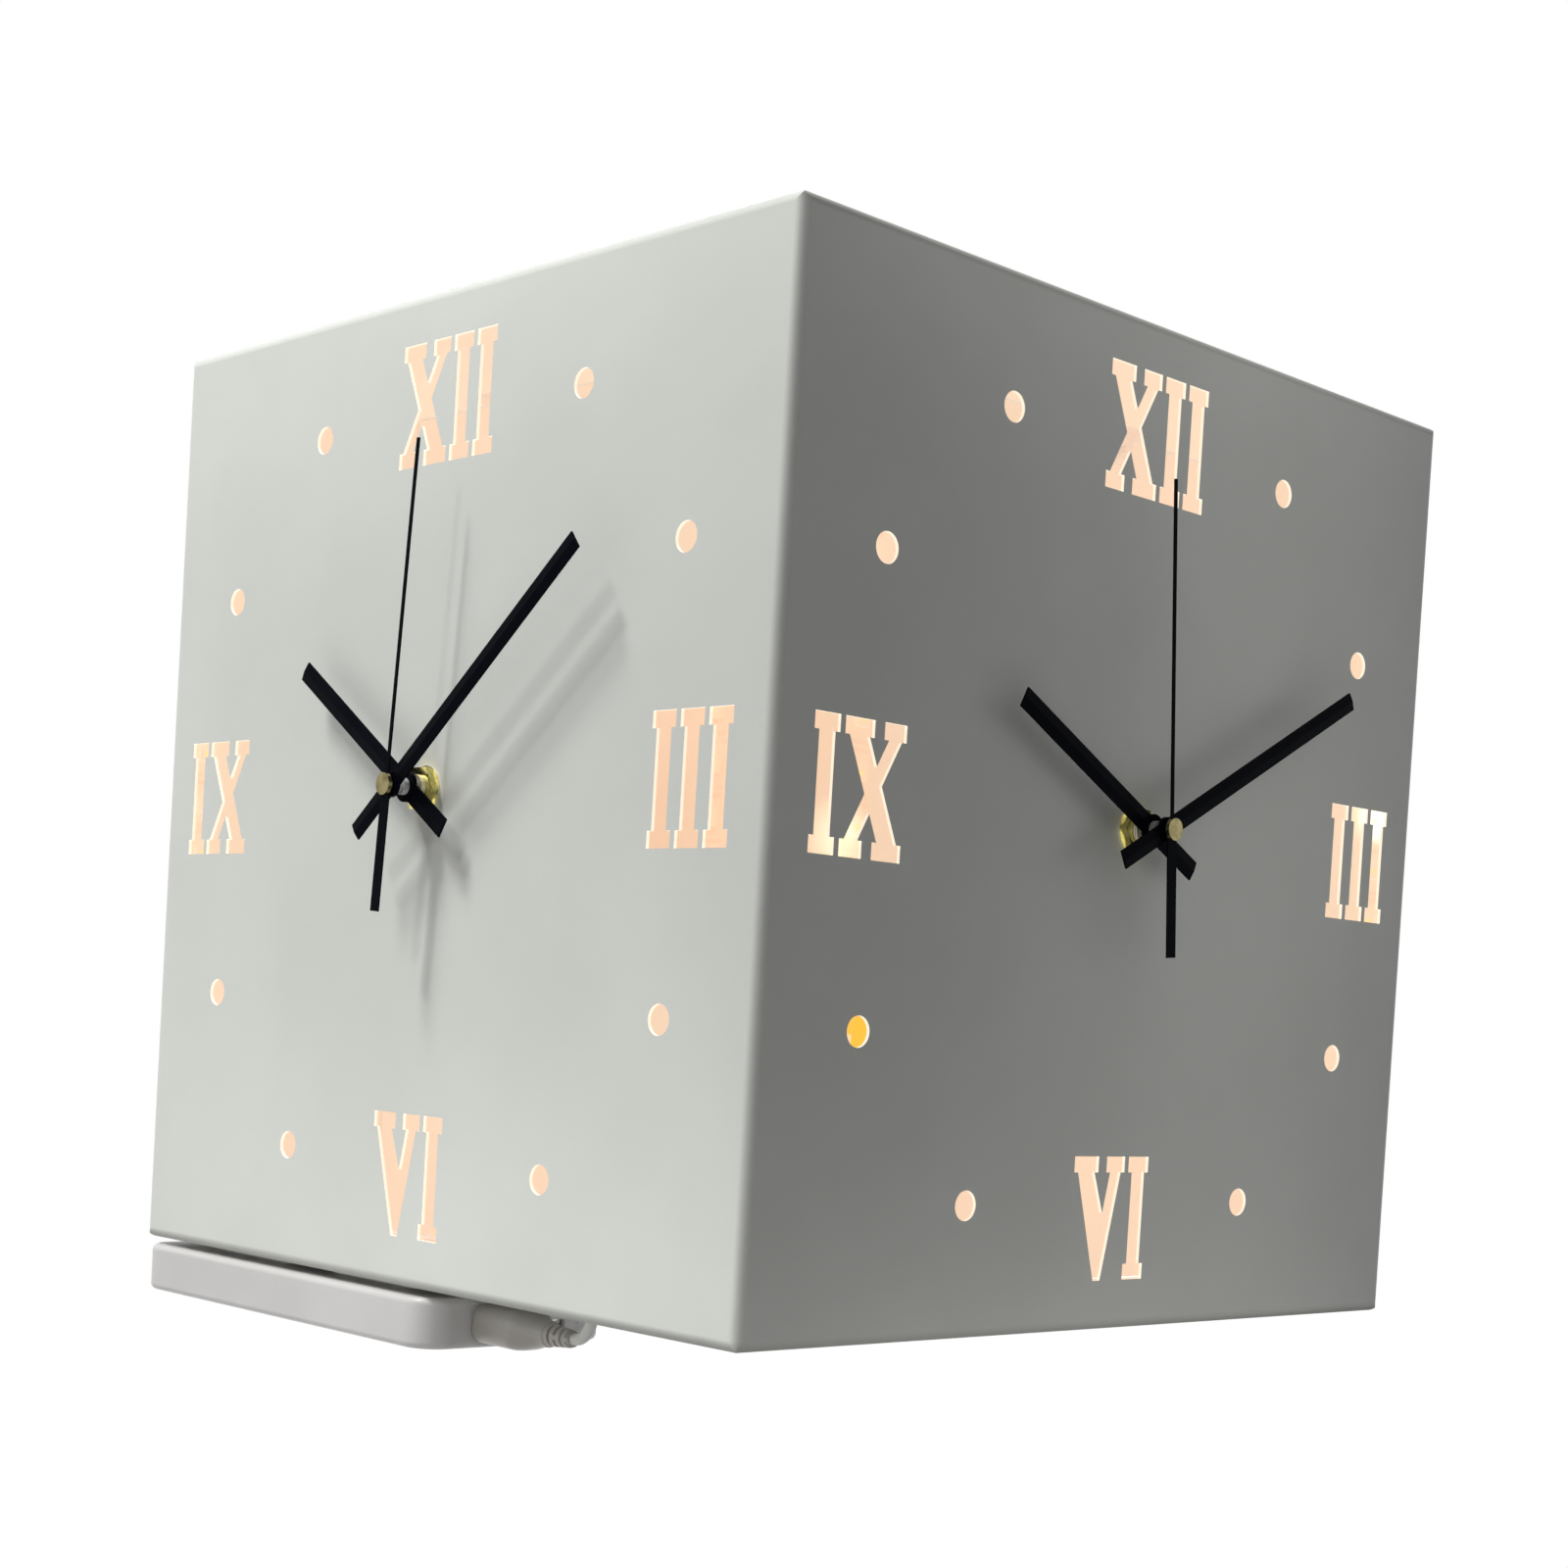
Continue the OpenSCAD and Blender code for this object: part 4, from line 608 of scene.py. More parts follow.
def glow_colour(tree):
    """Peach, creamier on the ceiling, pinker low on the walls, deeper between the two arms, and nearly
    white where the brightest chips throw their light, falling off to nothing at HOT_RADIUS. One chip
    blinds at GLARE_AT, and a spot of painted yellow chip light shines beside a strip."""
    facing_up = axes(tree, add(tree, "ShaderNodeTexCoord").outputs["Normal"])[2]
    wall = blend(tree, spread(tree, axes(tree)[2], 0.0, HEIGHT, 0.35, 0.0), PEACH, ROSE)
    base = blend(tree, below(tree, facing_up, -0.5), wall, CREAM)
    deep_gap = vector_node(tree, "DISTANCE", position(tree), DEEP_AT)
    base = blend(tree, spread(tree, deep_gap, DEEP_NEAR, DEEP_FAR, 1.0, 0.0), base, DEEP_PEACH)
    near = spread(tree, strip_distance(tree), HAZE_NEAR, HAZE_FAR, HAZE, 0.0)
    for spot in HOT_SPOTS:
        away = vector_node(tree, "DISTANCE", position(tree), spot)
        near = larger(tree, near, spread(tree, away, HOT_RADIUS, HOT_RADIUS * 0.3, 0.0, 0.9))
    # The spot of painted yellow chip light beside one strip glows yellow
    base = blend(tree, spot_mask(tree, YELLOW_LIGHT_SPOT_AT, YELLOW_LIGHT_SPOT_RADIUS), blend(tree, near, base, HOT), YELLOW_LIGHT_SPOT_GLOW)
    return blend(tree, spot_mask(tree, GLARE_AT, GLARE_RADIUS), base, GLARE)


print("glow of", len(STRIP_AXES), "strips")

# %% [markdown]
# ### White enamel
# The housing is powder coated: an even, faintly warm grey white with a fine orange peel, a satin gloss
# that varies a little, and folds where the coat is thinner and glossier. The folds are also painted a
# little lighter, partly wear and partly a painted highlight along the bends. Noise at three sizes gives
# the peel, the tone and the gloss, and distance from the folds gives the wear and that highlight. Close
# to the dials' top and bottom edges the coat doesn't mirror the surroundings, and the lower fold is
# painted darker, a painted shade. A yellow spot of painted chip light sits on the inside, beside one
# strip.

# %% White enamel, inside and out
ENAMEL, ENAMEL_DEEP, ENAMEL_WEAR_AND_HIGHLIGHT = (0.725, 0.74, 0.705), (0.69, 0.705, 0.67), (0.755, 0.765, 0.735)
# FOLD_SHADE is the colour of the painted shade on the lower fold
FOLD_SHADE, SHEEN = (0.32, 0.32, 0.30), 0.35
FACE, HALF_HEIGHT, PLATE_MIDDLE = 0.095, 0.145, 0.0035


def lit_side(tree):
    """1 on the inner side of the back plate, which lies in front of its mid thickness on either arm."""
    x, y, _ = axes(tree)
    return larger(tree, below(tree, y, -PLATE_MIDDLE), above(tree, x, PLATE_MIDDLE))


def enamel(name, masks):
    """Grey white coat with orange peel, glossier on the folds, glowing where masks(tree) says."""
    tree, shader = start_finish(name, IOR=1.5)
    x, y, z = axes(tree)
    from_x = math_node(tree, "ABSOLUTE", minus(tree, x, FACE))
    from_y = math_node(tree, "ABSOLUTE", plus(tree, y, FACE))
    from_mid = math_node(tree, "ABSOLUTE", minus(tree, z, HALF_HEIGHT))
    fold = spread(tree, larger(tree, from_x, from_y), 0.003, 0.0)
    # Folds and the top and bottom edges are painted lighter and made glossier: partly wear, partly a painted
    # highlight along the bends
    wear_and_highlight = larger(tree, fold, spread(tree, from_mid, 0.1425, HALF_HEIGHT))
    wear_and_highlight = times(tree, wear_and_highlight, spread(tree, speckle(tree, 0.004, 4.0), 0.35, 0.7))
    tone = spread(tree, speckle(tree, 0.055, 3.0), 0.35, 0.65)
    colour = blend(tree, times(tree, wear_and_highlight, 0.5), blend(tree, tone, ENAMEL, ENAMEL_DEEP), ENAMEL_WEAR_AND_HIGHLIGHT)
    near_face = spread(tree, smaller(tree, from_x, from_y), 0.004, 0.002)
    rim = times(tree, near_face, spread(tree, from_mid, 0.1415, 0.1435))
    tree.links.new(spread(tree, rim, 0.0, 1.0, SHEEN, 0.0), shader.inputs["Specular IOR Level"])
    # Painted shade: the lower fold, which faces down, is painted darker towards the bottom edge
    painted_fold_shade = times(tree, near_face, spread(tree, z, 0.0030, 0.0004, 0.0, 0.5))
    colour = blend(tree, painted_fold_shade, colour, FOLD_SHADE)
    # Painted light: the yellow spot of chip light beside one strip, in the base colour
    colour = blend(tree, spot_mask(tree, YELLOW_LIGHT_SPOT_AT, YELLOW_LIGHT_SPOT_RADIUS), colour, YELLOW_LIGHT_SPOT)
    gloss = spread(tree, speckle(tree, 0.018, 3.0), 0.3, 0.7, 0.36, 0.47)
    paint(tree, shader, colour, minus(tree, gloss, times(tree, wear_and_highlight, 0.1)))
    peel = times(tree, speckle(tree, 0.0005, 0.0), 0.3)
    emboss(tree, shader, plus(tree, speckle(tree, 0.0016, 1.0), peel), 0.00002, 0.6)
    inner, edge = masks(tree)
    shine(tree, shader, blend(tree, edge, blend(tree, inner, (0, 0, 0), glow_colour(tree)), CUT_EDGE))


enamel("white_enamel", glow_masks)
enamel("back_plate_enamel", lambda tree: (lit_side(tree), 0.0))
print("enamel", len(finishes["white_enamel"].node_tree.nodes), "nodes")

# %% [markdown]
# ### Zinc plated steel
# The tabs, hangers, rivets and screws are plated sheet: grey metal whose crystals show as a faint
# spangle, with fine rolling lines. Voronoi cells make the spangle and stretched noise the lines. What
# lies on the lit side of the back plate carries its share of the glow.

# %% Zinc plated steel
tree, shader = start_finish("zinc_steel", Metallic=1.0)
cells = add(tree, "ShaderNodeTexVoronoi", {"Vector": position(tree), "Scale": 220.0})
shade = add(tree, "ShaderNodeSeparateColor", {0: cells.outputs["Color"]}).outputs[0]
lines = speckle(tree, 0.001, 3.0, vector_node(tree, "MULTIPLY", position(tree), (1, 1, 0.05)))
tone = plus(tree, times(tree, shade, 0.7), times(tree, lines, 0.3))
paint(tree, shader, blend(tree, tone, (0.52, 0.53, 0.54), (0.68, 0.69, 0.70)),
      spread(tree, shade, 0.0, 1.0, 0.30, 0.46))
emboss(tree, shader, lines, 0.00001, 0.5)
shine(tree, shader, blend(tree, lit_side(tree), (0, 0, 0), PEACH))
print("zinc made")

# %% [markdown]
# ### Light strips
# Each strip is a film under milky silicone, with its printed copper only just showing, and every chip
# is a white cup with a yellow phosphor disc. The disc is found from the height, folded at the chip
# spacing, and the distance from the strip's axis. Strips and chips carry the same glow as the walls
# that they light.

# %% Strip film and light chips
CHIP_PITCH = 0.0166
FIRST_CHIP = HALF_HEIGHT - CHIP_PITCH * 7
MILKY, PHOSPHOR, PHOSPHOR_GLOW = (0.80, 0.78, 0.72), (0.80, 0.66, 0.20), (1.7, 1.35, 0.30)


def chip_phase(tree):
    """Height from the nearest chip's middle, in metres."""
    from_first = minus(tree, axes(tree)[2], FIRST_CHIP - CHIP_PITCH / 2)
    part = math_node(tree, "FRACT", over(tree, from_first, CHIP_PITCH))
    return times(tree, math_node(tree, "ABSOLUTE", minus(tree, part, 0.5)), CHIP_PITCH)


tree, shader = start_finish("strip_film", Roughness=0.45, Coat_Weight=0.3, Coat_Roughness=0.15)
phase = chip_phase(tree)
pad_line = math_node(tree, "COMPARE", phase, 0.0071, 0.0008)
copper = times(tree, pad_line, spread(tree, speckle(tree, 0.002, 2.0), 0.3, 0.5))
film = blend(tree, even_out(tree, speckle(tree, 0.012, 3.0)), MILKY, (0.74, 0.71, 0.64))
film = blend(tree, times(tree, copper, 0.15), film, (0.62, 0.34, 0.16))
# Painted light: the yellow spot of chip light reaches onto the film, in the base colour
paint(tree, shader, blend(tree, spot_mask(tree, YELLOW_LIGHT_SPOT_AT, YELLOW_LIGHT_SPOT_RADIUS), film, YELLOW_LIGHT_SPOT))
emboss(tree, shader, speckle(tree, 0.003, 2.0), 0.00008, 0.4)
shine(tree, shader, glow_colour(tree))

tree, shader = start_finish("warm_light", Roughness=0.3)
disc = spread(tree, hypotenuse(tree, chip_phase(tree), strip_distance(tree)), 0.0026, 0.0016)
paint(tree, shader, blend(tree, disc, MILKY, PHOSPHOR))
shine(tree, shader, blend(tree, disc, glow_colour(tree), PHOSPHOR_GLOW))
emboss(tree, shader, disc, 0.0001, 0.3)
print("strip finishes made")

# %% [markdown]
# ### Sheaths, rubber and nylon
# Soft plastics have a slightly uneven satin skin. On the cords the pattern follows the UV map, so that
# the marks run along the cord, and the twin wire has its red stripe on one core only.

# %% Sheaths of the lead and of the link wires
def along_piece(tree, scale):
    """The piece's own UV map, metres along and share round, stretched by scale."""
    uv = add(tree, "ShaderNodeUVMap", uv_map="along").outputs["UV"]
    return vector_node(tree, "MULTIPLY", uv, scale)


tree, shader = start_finish("lead_sheath", Roughness=0.42, IOR=1.45)
marks = speckle(tree, 1.0, 3.0, along_piece(tree, (900, 6, 1)))
long_marks = speckle(tree, 1.0, 3.0, along_piece(tree, (60, 14, 1)))
paint(tree, shader, blend(tree, spread(tree, long_marks, 0.3, 0.7), (0.60, 0.60, 0.57), (0.68, 0.68, 0.65)),
      spread(tree, marks, 0.3, 0.7, 0.36, 0.52))
emboss(tree, shader, marks, 0.00003, 0.5)

tree, shader = start_finish("wire_sheath", Roughness=0.4, IOR=1.45)
share = add(tree, "ShaderNodeSeparateXYZ", {0: along_piece(tree, (1, 1, 1))}).outputs["Y"]
stripe = math_node(tree, "COMPARE", share, 0.5, 0.06)
marks = speckle(tree, 1.0, 3.0, along_piece(tree, (700, 8, 1)))
white = blend(tree, spread(tree, marks, 0.3, 0.7), (0.74, 0.72, 0.68), (0.82, 0.80, 0.76))
paint(tree, shader, blend(tree, stripe, white, (0.45, 0.03, 0.02)), spread(tree, marks, 0.3, 0.7, 0.34, 0.5))
emboss(tree, shader, marks, 0.00003, 0.4)
print("sheaths made")

# %% Rubber and nylon
tree, shader = start_finish("grommet_rubber", Roughness=0.62, IOR=1.5)
marks = speckle(tree, 0.0007, 3.0)
paint(tree, shader, blend(tree, spread(tree, marks, 0.3, 0.7), (0.035, 0.035, 0.036), (0.06, 0.06, 0.06)),
      spread(tree, speckle(tree, 0.004), 0.3, 0.7, 0.52, 0.72))
emboss(tree, shader, marks, 0.00004, 0.6)


def nylon(name, light, deep):
    """A plain weave, which is two crossing waves of fine yarn, and a soft sheen."""
    tree, shader = start_finish(name, Roughness=0.55, Sheen_Weight=0.35, Sheen_Roughness=0.4)
    warp, weft = (waves(tree, 320.0, bands_direction=axis) for axis in "XY")
    weave = times(tree, warp, weft)
    paint(tree, shader, blend(tree, weave, deep, light))
    emboss(tree, shader, weave, 0.00012, 0.7)


nylon("hook_nylon", (0.78, 0.78, 0.76), (0.55, 0.55, 0.53))
nylon("loop_nylon", (0.70, 0.70, 0.69), (0.48, 0.48, 0.47))
print("rubber and nylon made")

# %% [markdown]
# ### Moulded plastics
# The pack, the plug, the clock movement and its wheels are injection moulded. Each has a spark eroded
# grain of its own size, a tone that drifts with the flow, and gloss that follows the grain. The
# differences are in colour, grain and gloss, so one function makes them all.

# %% Moulded plastics
def moulded(name, light, deep, gloss, grain, depth, flow=0.02):
    """Grain of that size and depth in metres, and gloss as (low, high) roughness."""
    tree, shader = start_finish(name, IOR=1.46)
    fine = speckle(tree, grain, 2.0)
    drift = even_out(tree, speckle(tree, flow, 3.0))
    paint(tree, shader, blend(tree, drift, light, deep), even_out(tree, fine, *gloss))
    emboss(tree, shader, fine, depth, 0.6)
    return tree, shader


moulded("pack_plastic", (0.65, 0.634, 0.63), (0.61, 0.594, 0.588), (0.30, 0.42), 0.0007, 0.000018, 0.04)
# Painted shade: the plug's off-white plastic is painted dark grey for the shadow under the housing's floor
moulded("plug_plastic", (0.41, 0.39, 0.36), (0.37, 0.35, 0.32), (0.34, 0.46), 0.0006, 0.00002)
moulded("wheel_plastic", (0.80, 0.78, 0.70), (0.70, 0.68, 0.60), (0.32, 0.45), 0.0004, 0.00001, 0.004)
moulded("pipe_plastic", (0.70, 0.70, 0.68), (0.62, 0.62, 0.60), (0.30, 0.42), 0.0004, 0.00001, 0.004)
moulded("magnet", (0.10, 0.10, 0.11), (0.07, 0.07, 0.075), (0.35, 0.55), 0.0003, 0.00001, 0.003)
print("moulded plastics made")

# %% [markdown]
# ### Brass
# The washer, the hex nut and the cap are turned brass: rings of tool marks round each dial's axis and
# darker patches that are a painted reflection, standing for the dark facets of the brass. The nut is a
# bright yellow, the washer paler, and the cap is painted dark all over, a painted shade for the darker
# surroundings it reflects. The rings are waves round the axis, which stay put when the cap turns.

# %% Brass
FRONT_CENTRE, SIDE_CENTRE = (-0.050, -0.095, 0.145), (0.095, 0.050, 0.145)


def brass(name, bright, reflection_dark, gloss):
    """Turned brass of those two tones, with roughness from gloss[0] to gloss[1]."""
    tree, shader = start_finish(name, Metallic=1.0)
    front, side = (waves(tree, 900.0, 0.4, centred(tree, centre), wave_type="RINGS", rings_direction=axis)
                   for centre, axis in ((FRONT_CENTRE, "Y"), (SIDE_CENTRE, "X")))
    rings = by_dial(tree, front, side)
    # Painted reflection: dark patches stand for the darker facets and reflections of the brass
    dark_reflection_patches = spread(tree, speckle(tree, 0.0035, 4.0), 0.45, 0.75)
    paint(tree, shader, blend(tree, dark_reflection_patches, bright, reflection_dark), spread(tree, rings, 0.0, 1.0, *gloss))
    emboss(tree, shader, rings, 0.000006, 0.5)


brass("brass", (0.80, 0.72, 0.26), (0.22, 0.19, 0.05), (0.12, 0.24))
brass("washer_brass", (0.94, 0.88, 0.66), (0.70, 0.62, 0.36), (0.22, 0.34))
# The cap's dark tones are a painted shade for the darker surroundings that it reflects
brass("cap_brass", (0.29, 0.25, 0.12), (0.12, 0.095, 0.035), (0.26, 0.40))
print("brass made")

# %% [markdown]
# ### The movement's case
# The case is black plastic, but its threaded neck is plated brass that carries the hex nut, so the
# finish changes colour where the neck starts: within 4.2 mm of the dial's axis and in front of the
# case's front wall.

# %% Movement plastic with a metal neck
NECK_R, NECK_FROM, THREAD_HALF = 0.0042, -0.0012, 0.00035
CASE_LOOK = (0.035, 0.036, 0.038), (0.022, 0.022, 0.024), (0.40, 0.56), 0.0006, 0.00002


def movement_case_finish(name, centre, faces_front):
    """Black grained plastic, and brass with thread lines where the point lies on the neck."""
    tree, shader = moulded(name, *CASE_LOOK)
    x, y, z = axes(tree, centred(tree, centre))
    across, out = (x, times(tree, y, -1.0)) if faces_front else (y, x)
    neck = times(tree, below(tree, hypotenuse(tree, across, z), NECK_R), above(tree, out, NECK_FROM))
    black = shader.inputs["Base Color"].links[0].from_socket
    tree.links.new(blend(tree, neck, black, (0.55, 0.52, 0.44)), shader.inputs["Base Color"])
    tree.links.new(neck, shader.inputs["Metallic"])
    thread = over(tree, math_node(tree, "PINGPONG", out, THREAD_HALF), THREAD_HALF)
    emboss(tree, shader, times(tree, thread, neck), 0.00015, 0.8)


movement_case_finish("front_movement_plastic", FRONT_CENTRE, True)
movement_case_finish("side_movement_plastic", SIDE_CENTRE, False)
moulded("cover_plastic", (0.045, 0.046, 0.048), (0.03, 0.03, 0.032), (0.42, 0.58), 0.0006, 0.00002)
print("movement finishes made")

# %% [markdown]
# ### Black hands
# The hands are stamped from thin sheet and lacquered black. Their gloss shows faint brush marks and a
# little dust; the raised crease along the middle comes from the solid itself.

# %% Hand lacquer
tree, shader = start_finish("hand_lacquer", IOR=1.45, Specular_IOR_Level=0.012)
dust = spread(tree, speckle(tree, 0.0012, 4.0), 0.6, 0.85)
brush = speckle(tree, 0.0006, 3.0)
drift = even_out(tree, speckle(tree, 0.009, 2.0))
base = blend(tree, drift, (0.0022, 0.0027, 0.0050), (0.0038, 0.0044, 0.0075))
paint(tree, shader, blend(tree, times(tree, dust, 0.006), base, (0.3, 0.3, 0.3)),
      spread(tree, brush, 0.3, 0.7, 0.26, 0.36))
emboss(tree, shader, brush, 0.000008, 0.4)
print("hand lacquer made")

# %% [markdown]
# ### Electrical pieces
# Hidden pieces get their real finish too: solder mask with copper tracks, fine copper turns on the
# coils, oxidised stator iron, a plain two-tone sleeve on the cells, foil with tape on the pack's cell,
# nickel sockets and clear indicator lenses.

# %% Circuit board and sockets
tree, shader = start_finish("circuit_board", Roughness=0.35, Coat_Weight=0.4, Coat_Roughness=0.2)
cells = add(tree, "ShaderNodeTexVoronoi", {"Vector": position(tree), "Scale": 420.0}, distance="CHEBYCHEV")
track = spread(tree, cells.outputs["Distance"], 0.42, 0.47)
dots = add(tree, "ShaderNodeTexVoronoi", {"Vector": position(tree), "Scale": 260.0}).outputs["Distance"]
pads = spread(tree, dots, 0.16, 0.12)
mask = blend(tree, track, (0.012, 0.11, 0.045), (0.03, 0.20, 0.07))
paint(tree, shader, blend(tree, pads, mask, (0.72, 0.60, 0.30)))
emboss(tree, shader, larger(tree, track, pads), 0.00004, 0.6)

tree, shader = start_finish("socket_steel", Metallic=1.0, Roughness=0.28)
brush = speckle(tree, 0.0005, 3.0, vector_node(tree, "MULTIPLY", position(tree), (0.08, 1, 1)))
paint(tree, shader, blend(tree, brush, (0.60, 0.60, 0.59), (0.76, 0.76, 0.75)),
      even_out(tree, brush, 0.2, 0.36))
emboss(tree, shader, brush, 0.000008, 0.4)
print("board and sockets made")

# %% Coil and stator
tree, shader = start_finish("coil_winding", Roughness=0.3, Metallic=0.8)
windings = by_dial(tree, *(waves(tree, 1250.0, 0.5, bands_direction=axis) for axis in "XY"))
paint(tree, shader, blend(tree, windings, (0.36, 0.12, 0.04), (0.78, 0.36, 0.15)))
emboss(tree, shader, windings, 0.00005, 0.8)

tree, shader = start_finish("stator_iron", Metallic=0.9)
oxide = spread(tree, speckle(tree, 0.002, 4.0), 0.35, 0.7)
paint(tree, shader, blend(tree, oxide, (0.24, 0.25, 0.27), (0.13, 0.12, 0.12)),
      spread(tree, oxide, 0.0, 1.0, 0.4, 0.62))
emboss(tree, shader, oxide, 0.00001, 0.5)
print("coil and stator made")

# %% Battery sleeve and pouch cell
tree, shader = start_finish("battery_label", Roughness=0.3, Coat_Weight=0.6, Coat_Roughness=0.1)
x, y, _ = axes(tree)
run = by_dial(tree, minus(tree, x, FRONT_CENTRE[0]), minus(tree, y, SIDE_CENTRE[1]))
band = above(tree, run, 0.010)
cap_end = above(tree, math_node(tree, "ABSOLUTE", run), 0.0235)
print_grain = even_out(tree, speckle(tree, 0.006, 3.0))
sleeve = blend(tree, band, (0.06, 0.10, 0.22), (0.62, 0.64, 0.66))
sleeve = blend(tree, times(tree, print_grain, 0.15), sleeve, (0.4, 0.5, 0.5))
paint(tree, shader, blend(tree, cap_end, sleeve, (0.60, 0.60, 0.60)))
tree.links.new(cap_end, shader.inputs["Metallic"])
emboss(tree, shader, speckle(tree, 0.008, 2.0), 0.00006, 0.4)

tree, shader = start_finish("cell_foil", Metallic=0.9, Roughness=0.32)
tape = above(tree, axes(tree)[0], -0.072)
crease = speckle(tree, 0.014, 5.0)
paint(tree, shader, blend(tree, tape, (0.66, 0.67, 0.68), (0.62, 0.36, 0.05)),
      even_out(tree, crease, 0.24, 0.42))
emboss(tree, shader, crease, 0.0004, 0.6)
print("battery finishes made")

# %% Indicator lenses
tree, shader = start_finish("indicator_lens", Roughness=0.15, IOR=1.49, Transmission_Weight=0.35)
clouds = spread(tree, speckle(tree, 0.0008, 3.0), 0.3, 0.7)
paint(tree, shader, blend(tree, clouds, (0.72, 0.78, 0.82), (0.86, 0.90, 0.92)))
emboss(tree, shader, clouds, 0.00002, 0.4)
print(len(finishes), "finishes in all")

# %% [markdown]
# ## Dress every part
# The record names a slot for each part. A part takes a finish of its own where there is one, such as
# the lit back plate, and else the finish of its slot.

# %% Fill the material slots
own_finish = {"back_plate": "back_plate_enamel", "front_movement_case": "front_movement_plastic",
              "side_movement_case": "side_movement_plastic", "front_movement_cover": "cover_plastic",
              "side_movement_cover": "cover_plastic", "front_second_cap": "cap_brass",
              "side_second_cap": "cap_brass", "dial_washers": "washer_brass"}
slot_of = {entry["node"]: entry["material_slot"] for entry in frame["record"]["subparts"]}


def dress(piece, finish):
    """All of the piece's faces take the finish of that name."""
    piece.data.materials.clear()
    piece.data.materials.append(finishes[finish])


for name, part in parts.items():
    dress(part, own_finish.get(name, slot_of[name]))
for piece in new_pieces:
    dress(piece, piece["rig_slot"])
print("dressed", len(parts), "parts and", len(new_pieces), "new pieces")

# %% [markdown]
# ## Floor, world and lamps
# The clock is shown against white. The floor is pale and matt, lies 0.3 m below, and adds a plain white
# only for what the camera, a mirror or glass sees, so it stays white and still takes a soft shadow. The
# world does the same: white where it is seen, and a weak even light where it lights.
#
# Each hand on the left dial throws two shadows. The near one is narrow and comes from a lamp 45 degrees
# up. The far one is sharp above and fades out below, as from a row of lamps one above the other, so
# three lamps of growing size stand at slopes 1.6, 2.1 and 2.5. Low strips a hand's width in front of
# the dials' edges lift the edges, and the right dial keeps to weak light of its own.

# %% Floor and world
def seen_directly(tree):
    """1 for rays from the camera, from a mirror or through glass."""
    rays = add(tree, "ShaderNodeLightPath")
    seen = larger(tree, rays.outputs["Is Camera Ray"], rays.outputs["Is Glossy Ray"])
    return larger(tree, seen, rays.outputs["Is Transmission Ray"])


FLOOR_Z, FLOOR_HALF, FLOOR_WHITE = -0.30, 1.2, 0.80
WHITE, GREY = (1.0, 1.0, 1.0, 1.0), (0.48, 0.48, 0.48, 1.0)
corners = [(x * FLOOR_HALF, y * FLOOR_HALF, FLOOR_Z) for x, y in ((-1, -1), (1, -1), (1, 1), (-1, 1))]
floor_mesh = bpy.data.meshes.new("floor")
floor_mesh.from_pydata(corners, [], [(0, 1, 2, 3)])
floor = bpy.data.objects.new("floor", floor_mesh)
bpy.context.scene.collection.objects.link(floor)
tree, shader = start_finish("floor_matt", Roughness=0.9, Base_Color=GREY)
brightness = times(tree, seen_directly(tree), FLOOR_WHITE)
white = add(tree, "ShaderNodeEmission", {"Color": WHITE, "Strength": brightness})
total = add(tree, "ShaderNodeAddShader", {0: shader.outputs[0], 1: white.outputs[0]})
tree.links.new(total.outputs[0], tree.nodes["Material Output"].inputs["Surface"])
dress(floor, "floor_matt")

AMBIENT = 0.07
world = bpy.data.worlds.new("studio")
bpy.context.scene.world = world
world.use_nodes = True
tree = world.node_tree
level = plus(tree, times(tree, seen_directly(tree), 1.0 - AMBIENT), AMBIENT)
background = tree.nodes["Background"]
background.inputs["Color"].default_value = WHITE
tree.links.new(level, background.inputs["Strength"])
bpy.context.scene.view_settings.view_transform = "Standard"
print("floor at", FLOOR_Z, "world level", AMBIENT)

# %% Lamps
LAMP_TINT = (1.0, 1.0, 0.985)


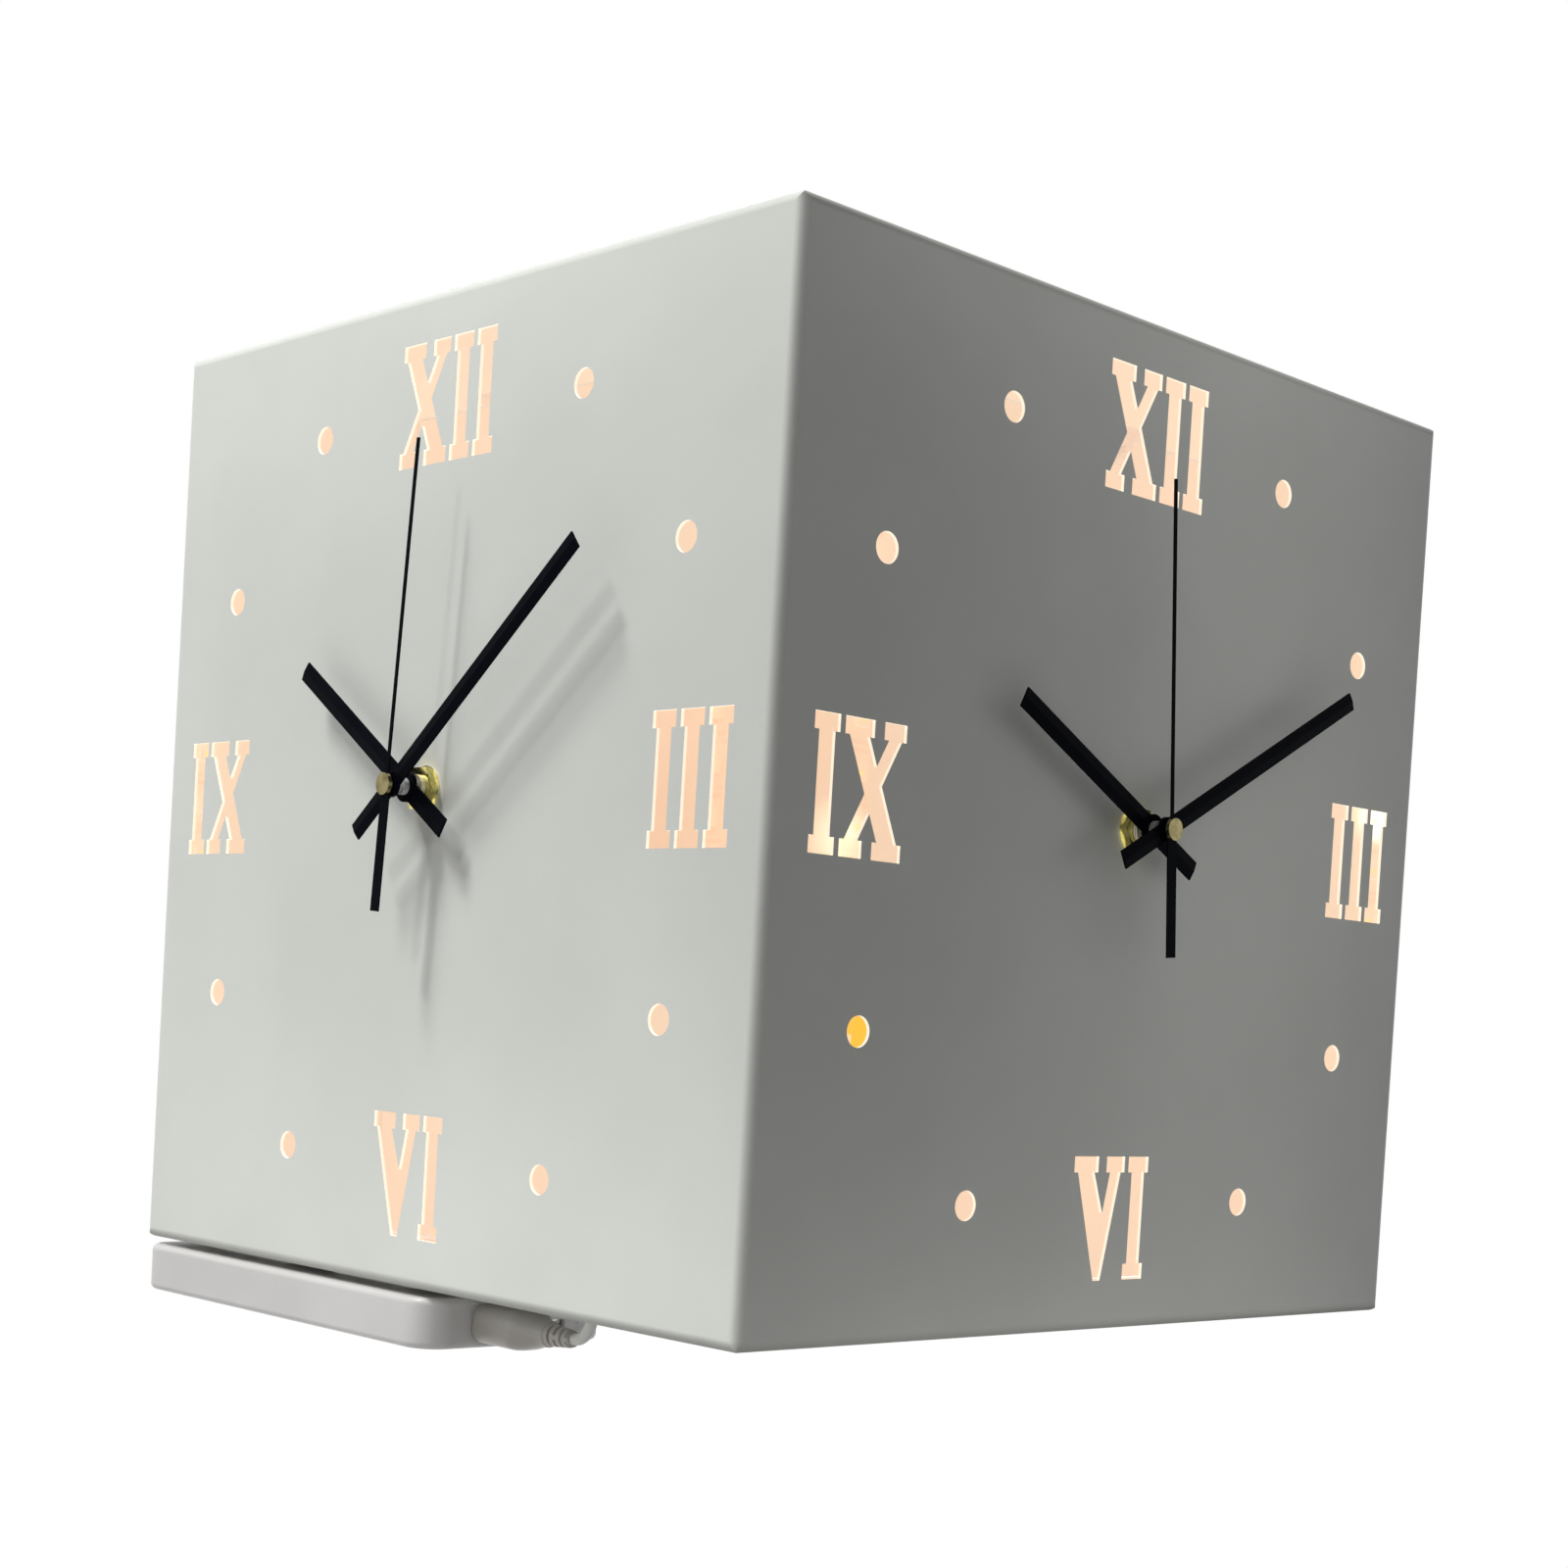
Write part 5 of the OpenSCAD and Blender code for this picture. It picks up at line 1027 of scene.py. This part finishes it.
def soft_lamp(name, at, toward, size, watts):
    """A lamp of that width and height at a point, shining away from the direction toward."""
    lamp = bpy.data.lights.new(name, "AREA")
    lamp.shape, lamp.energy, lamp.color = "RECTANGLE", watts, LAMP_TINT
    lamp.size, lamp.size_y = size
    holder = bpy.data.objects.new(name, lamp)
    x, y, z = np.array(toward, float) / np.linalg.norm(toward)
    holder.location = at
    holder.rotation_euler = (math.acos(z), 0.0, math.atan2(x, -y))
    bpy.context.scene.collection.objects.link(holder)


def far_lamp(name, toward, distance, size, watts):
    """A square lamp at that distance from the left dial's middle, facing it."""
    unit = np.array(toward, float) / np.linalg.norm(toward)
    soft_lamp(name, np.array(FRONT_CENTRE) + unit * distance, toward, (size, size), watts)


far_lamp("near_shadow_lamp", (-0.11, -1.0, 0.94), 1.9, 0.25, 4.7)
far_lamp("far_shadow_lamp", (-0.50, -1.0, 1.63), 1.9, 0.15, 10.7)
far_lamp("fading_shadow_lamp", (-0.57, -1.0, 2.1), 1.9, 0.22, 7.8)
far_lamp("faded_shadow_lamp", (-0.65, -1.0, 2.5), 1.9, 0.29, 13.6)
far_lamp("back_fill", (-0.8, 1.0, 0.6), 2.2, 0.9, 12.0)
far_lamp("front_fill", (-0.2, -1.0, -0.1), 2.0, 1.2, 1.3)
soft_lamp("front_low_strip", (-0.03, -0.225, 0.0), (0, -1, 0), (0.36, 0.03), 0.078)
soft_lamp("front_top_strip", (-0.05, -0.195, 0.325), (0, -1, 0), (0.34, 0.03), 0.036)
soft_lamp("front_end_strip", (-0.24, -0.195, 0.145), (0, -1, 0), (0.03, 0.30), 0.020)
soft_lamp("side_fill", (1.187, -0.278, 0.473), (1.0, -0.3, 0.3), (0.8, 0.8), 0.44)
soft_lamp("side_low_strip", (0.155, 0.05, -0.02), (1, 0, 0), (0.26, 0.03), 0.0125)
soft_lamp("side_top_strip", (0.155, 0.05, 0.31), (1, 0, 0), (0.26, 0.03), 0.0099)
soft_lamp("side_upper_lamp", (0.175, 0.11, 0.20), (1, 0, 0), (0.12, 0.20), 0.0135)
soft_lamp("side_lower_lamp", (0.175, 0.10, 0.06), (1, 0, 0), (0.12, 0.12), 0.0048)
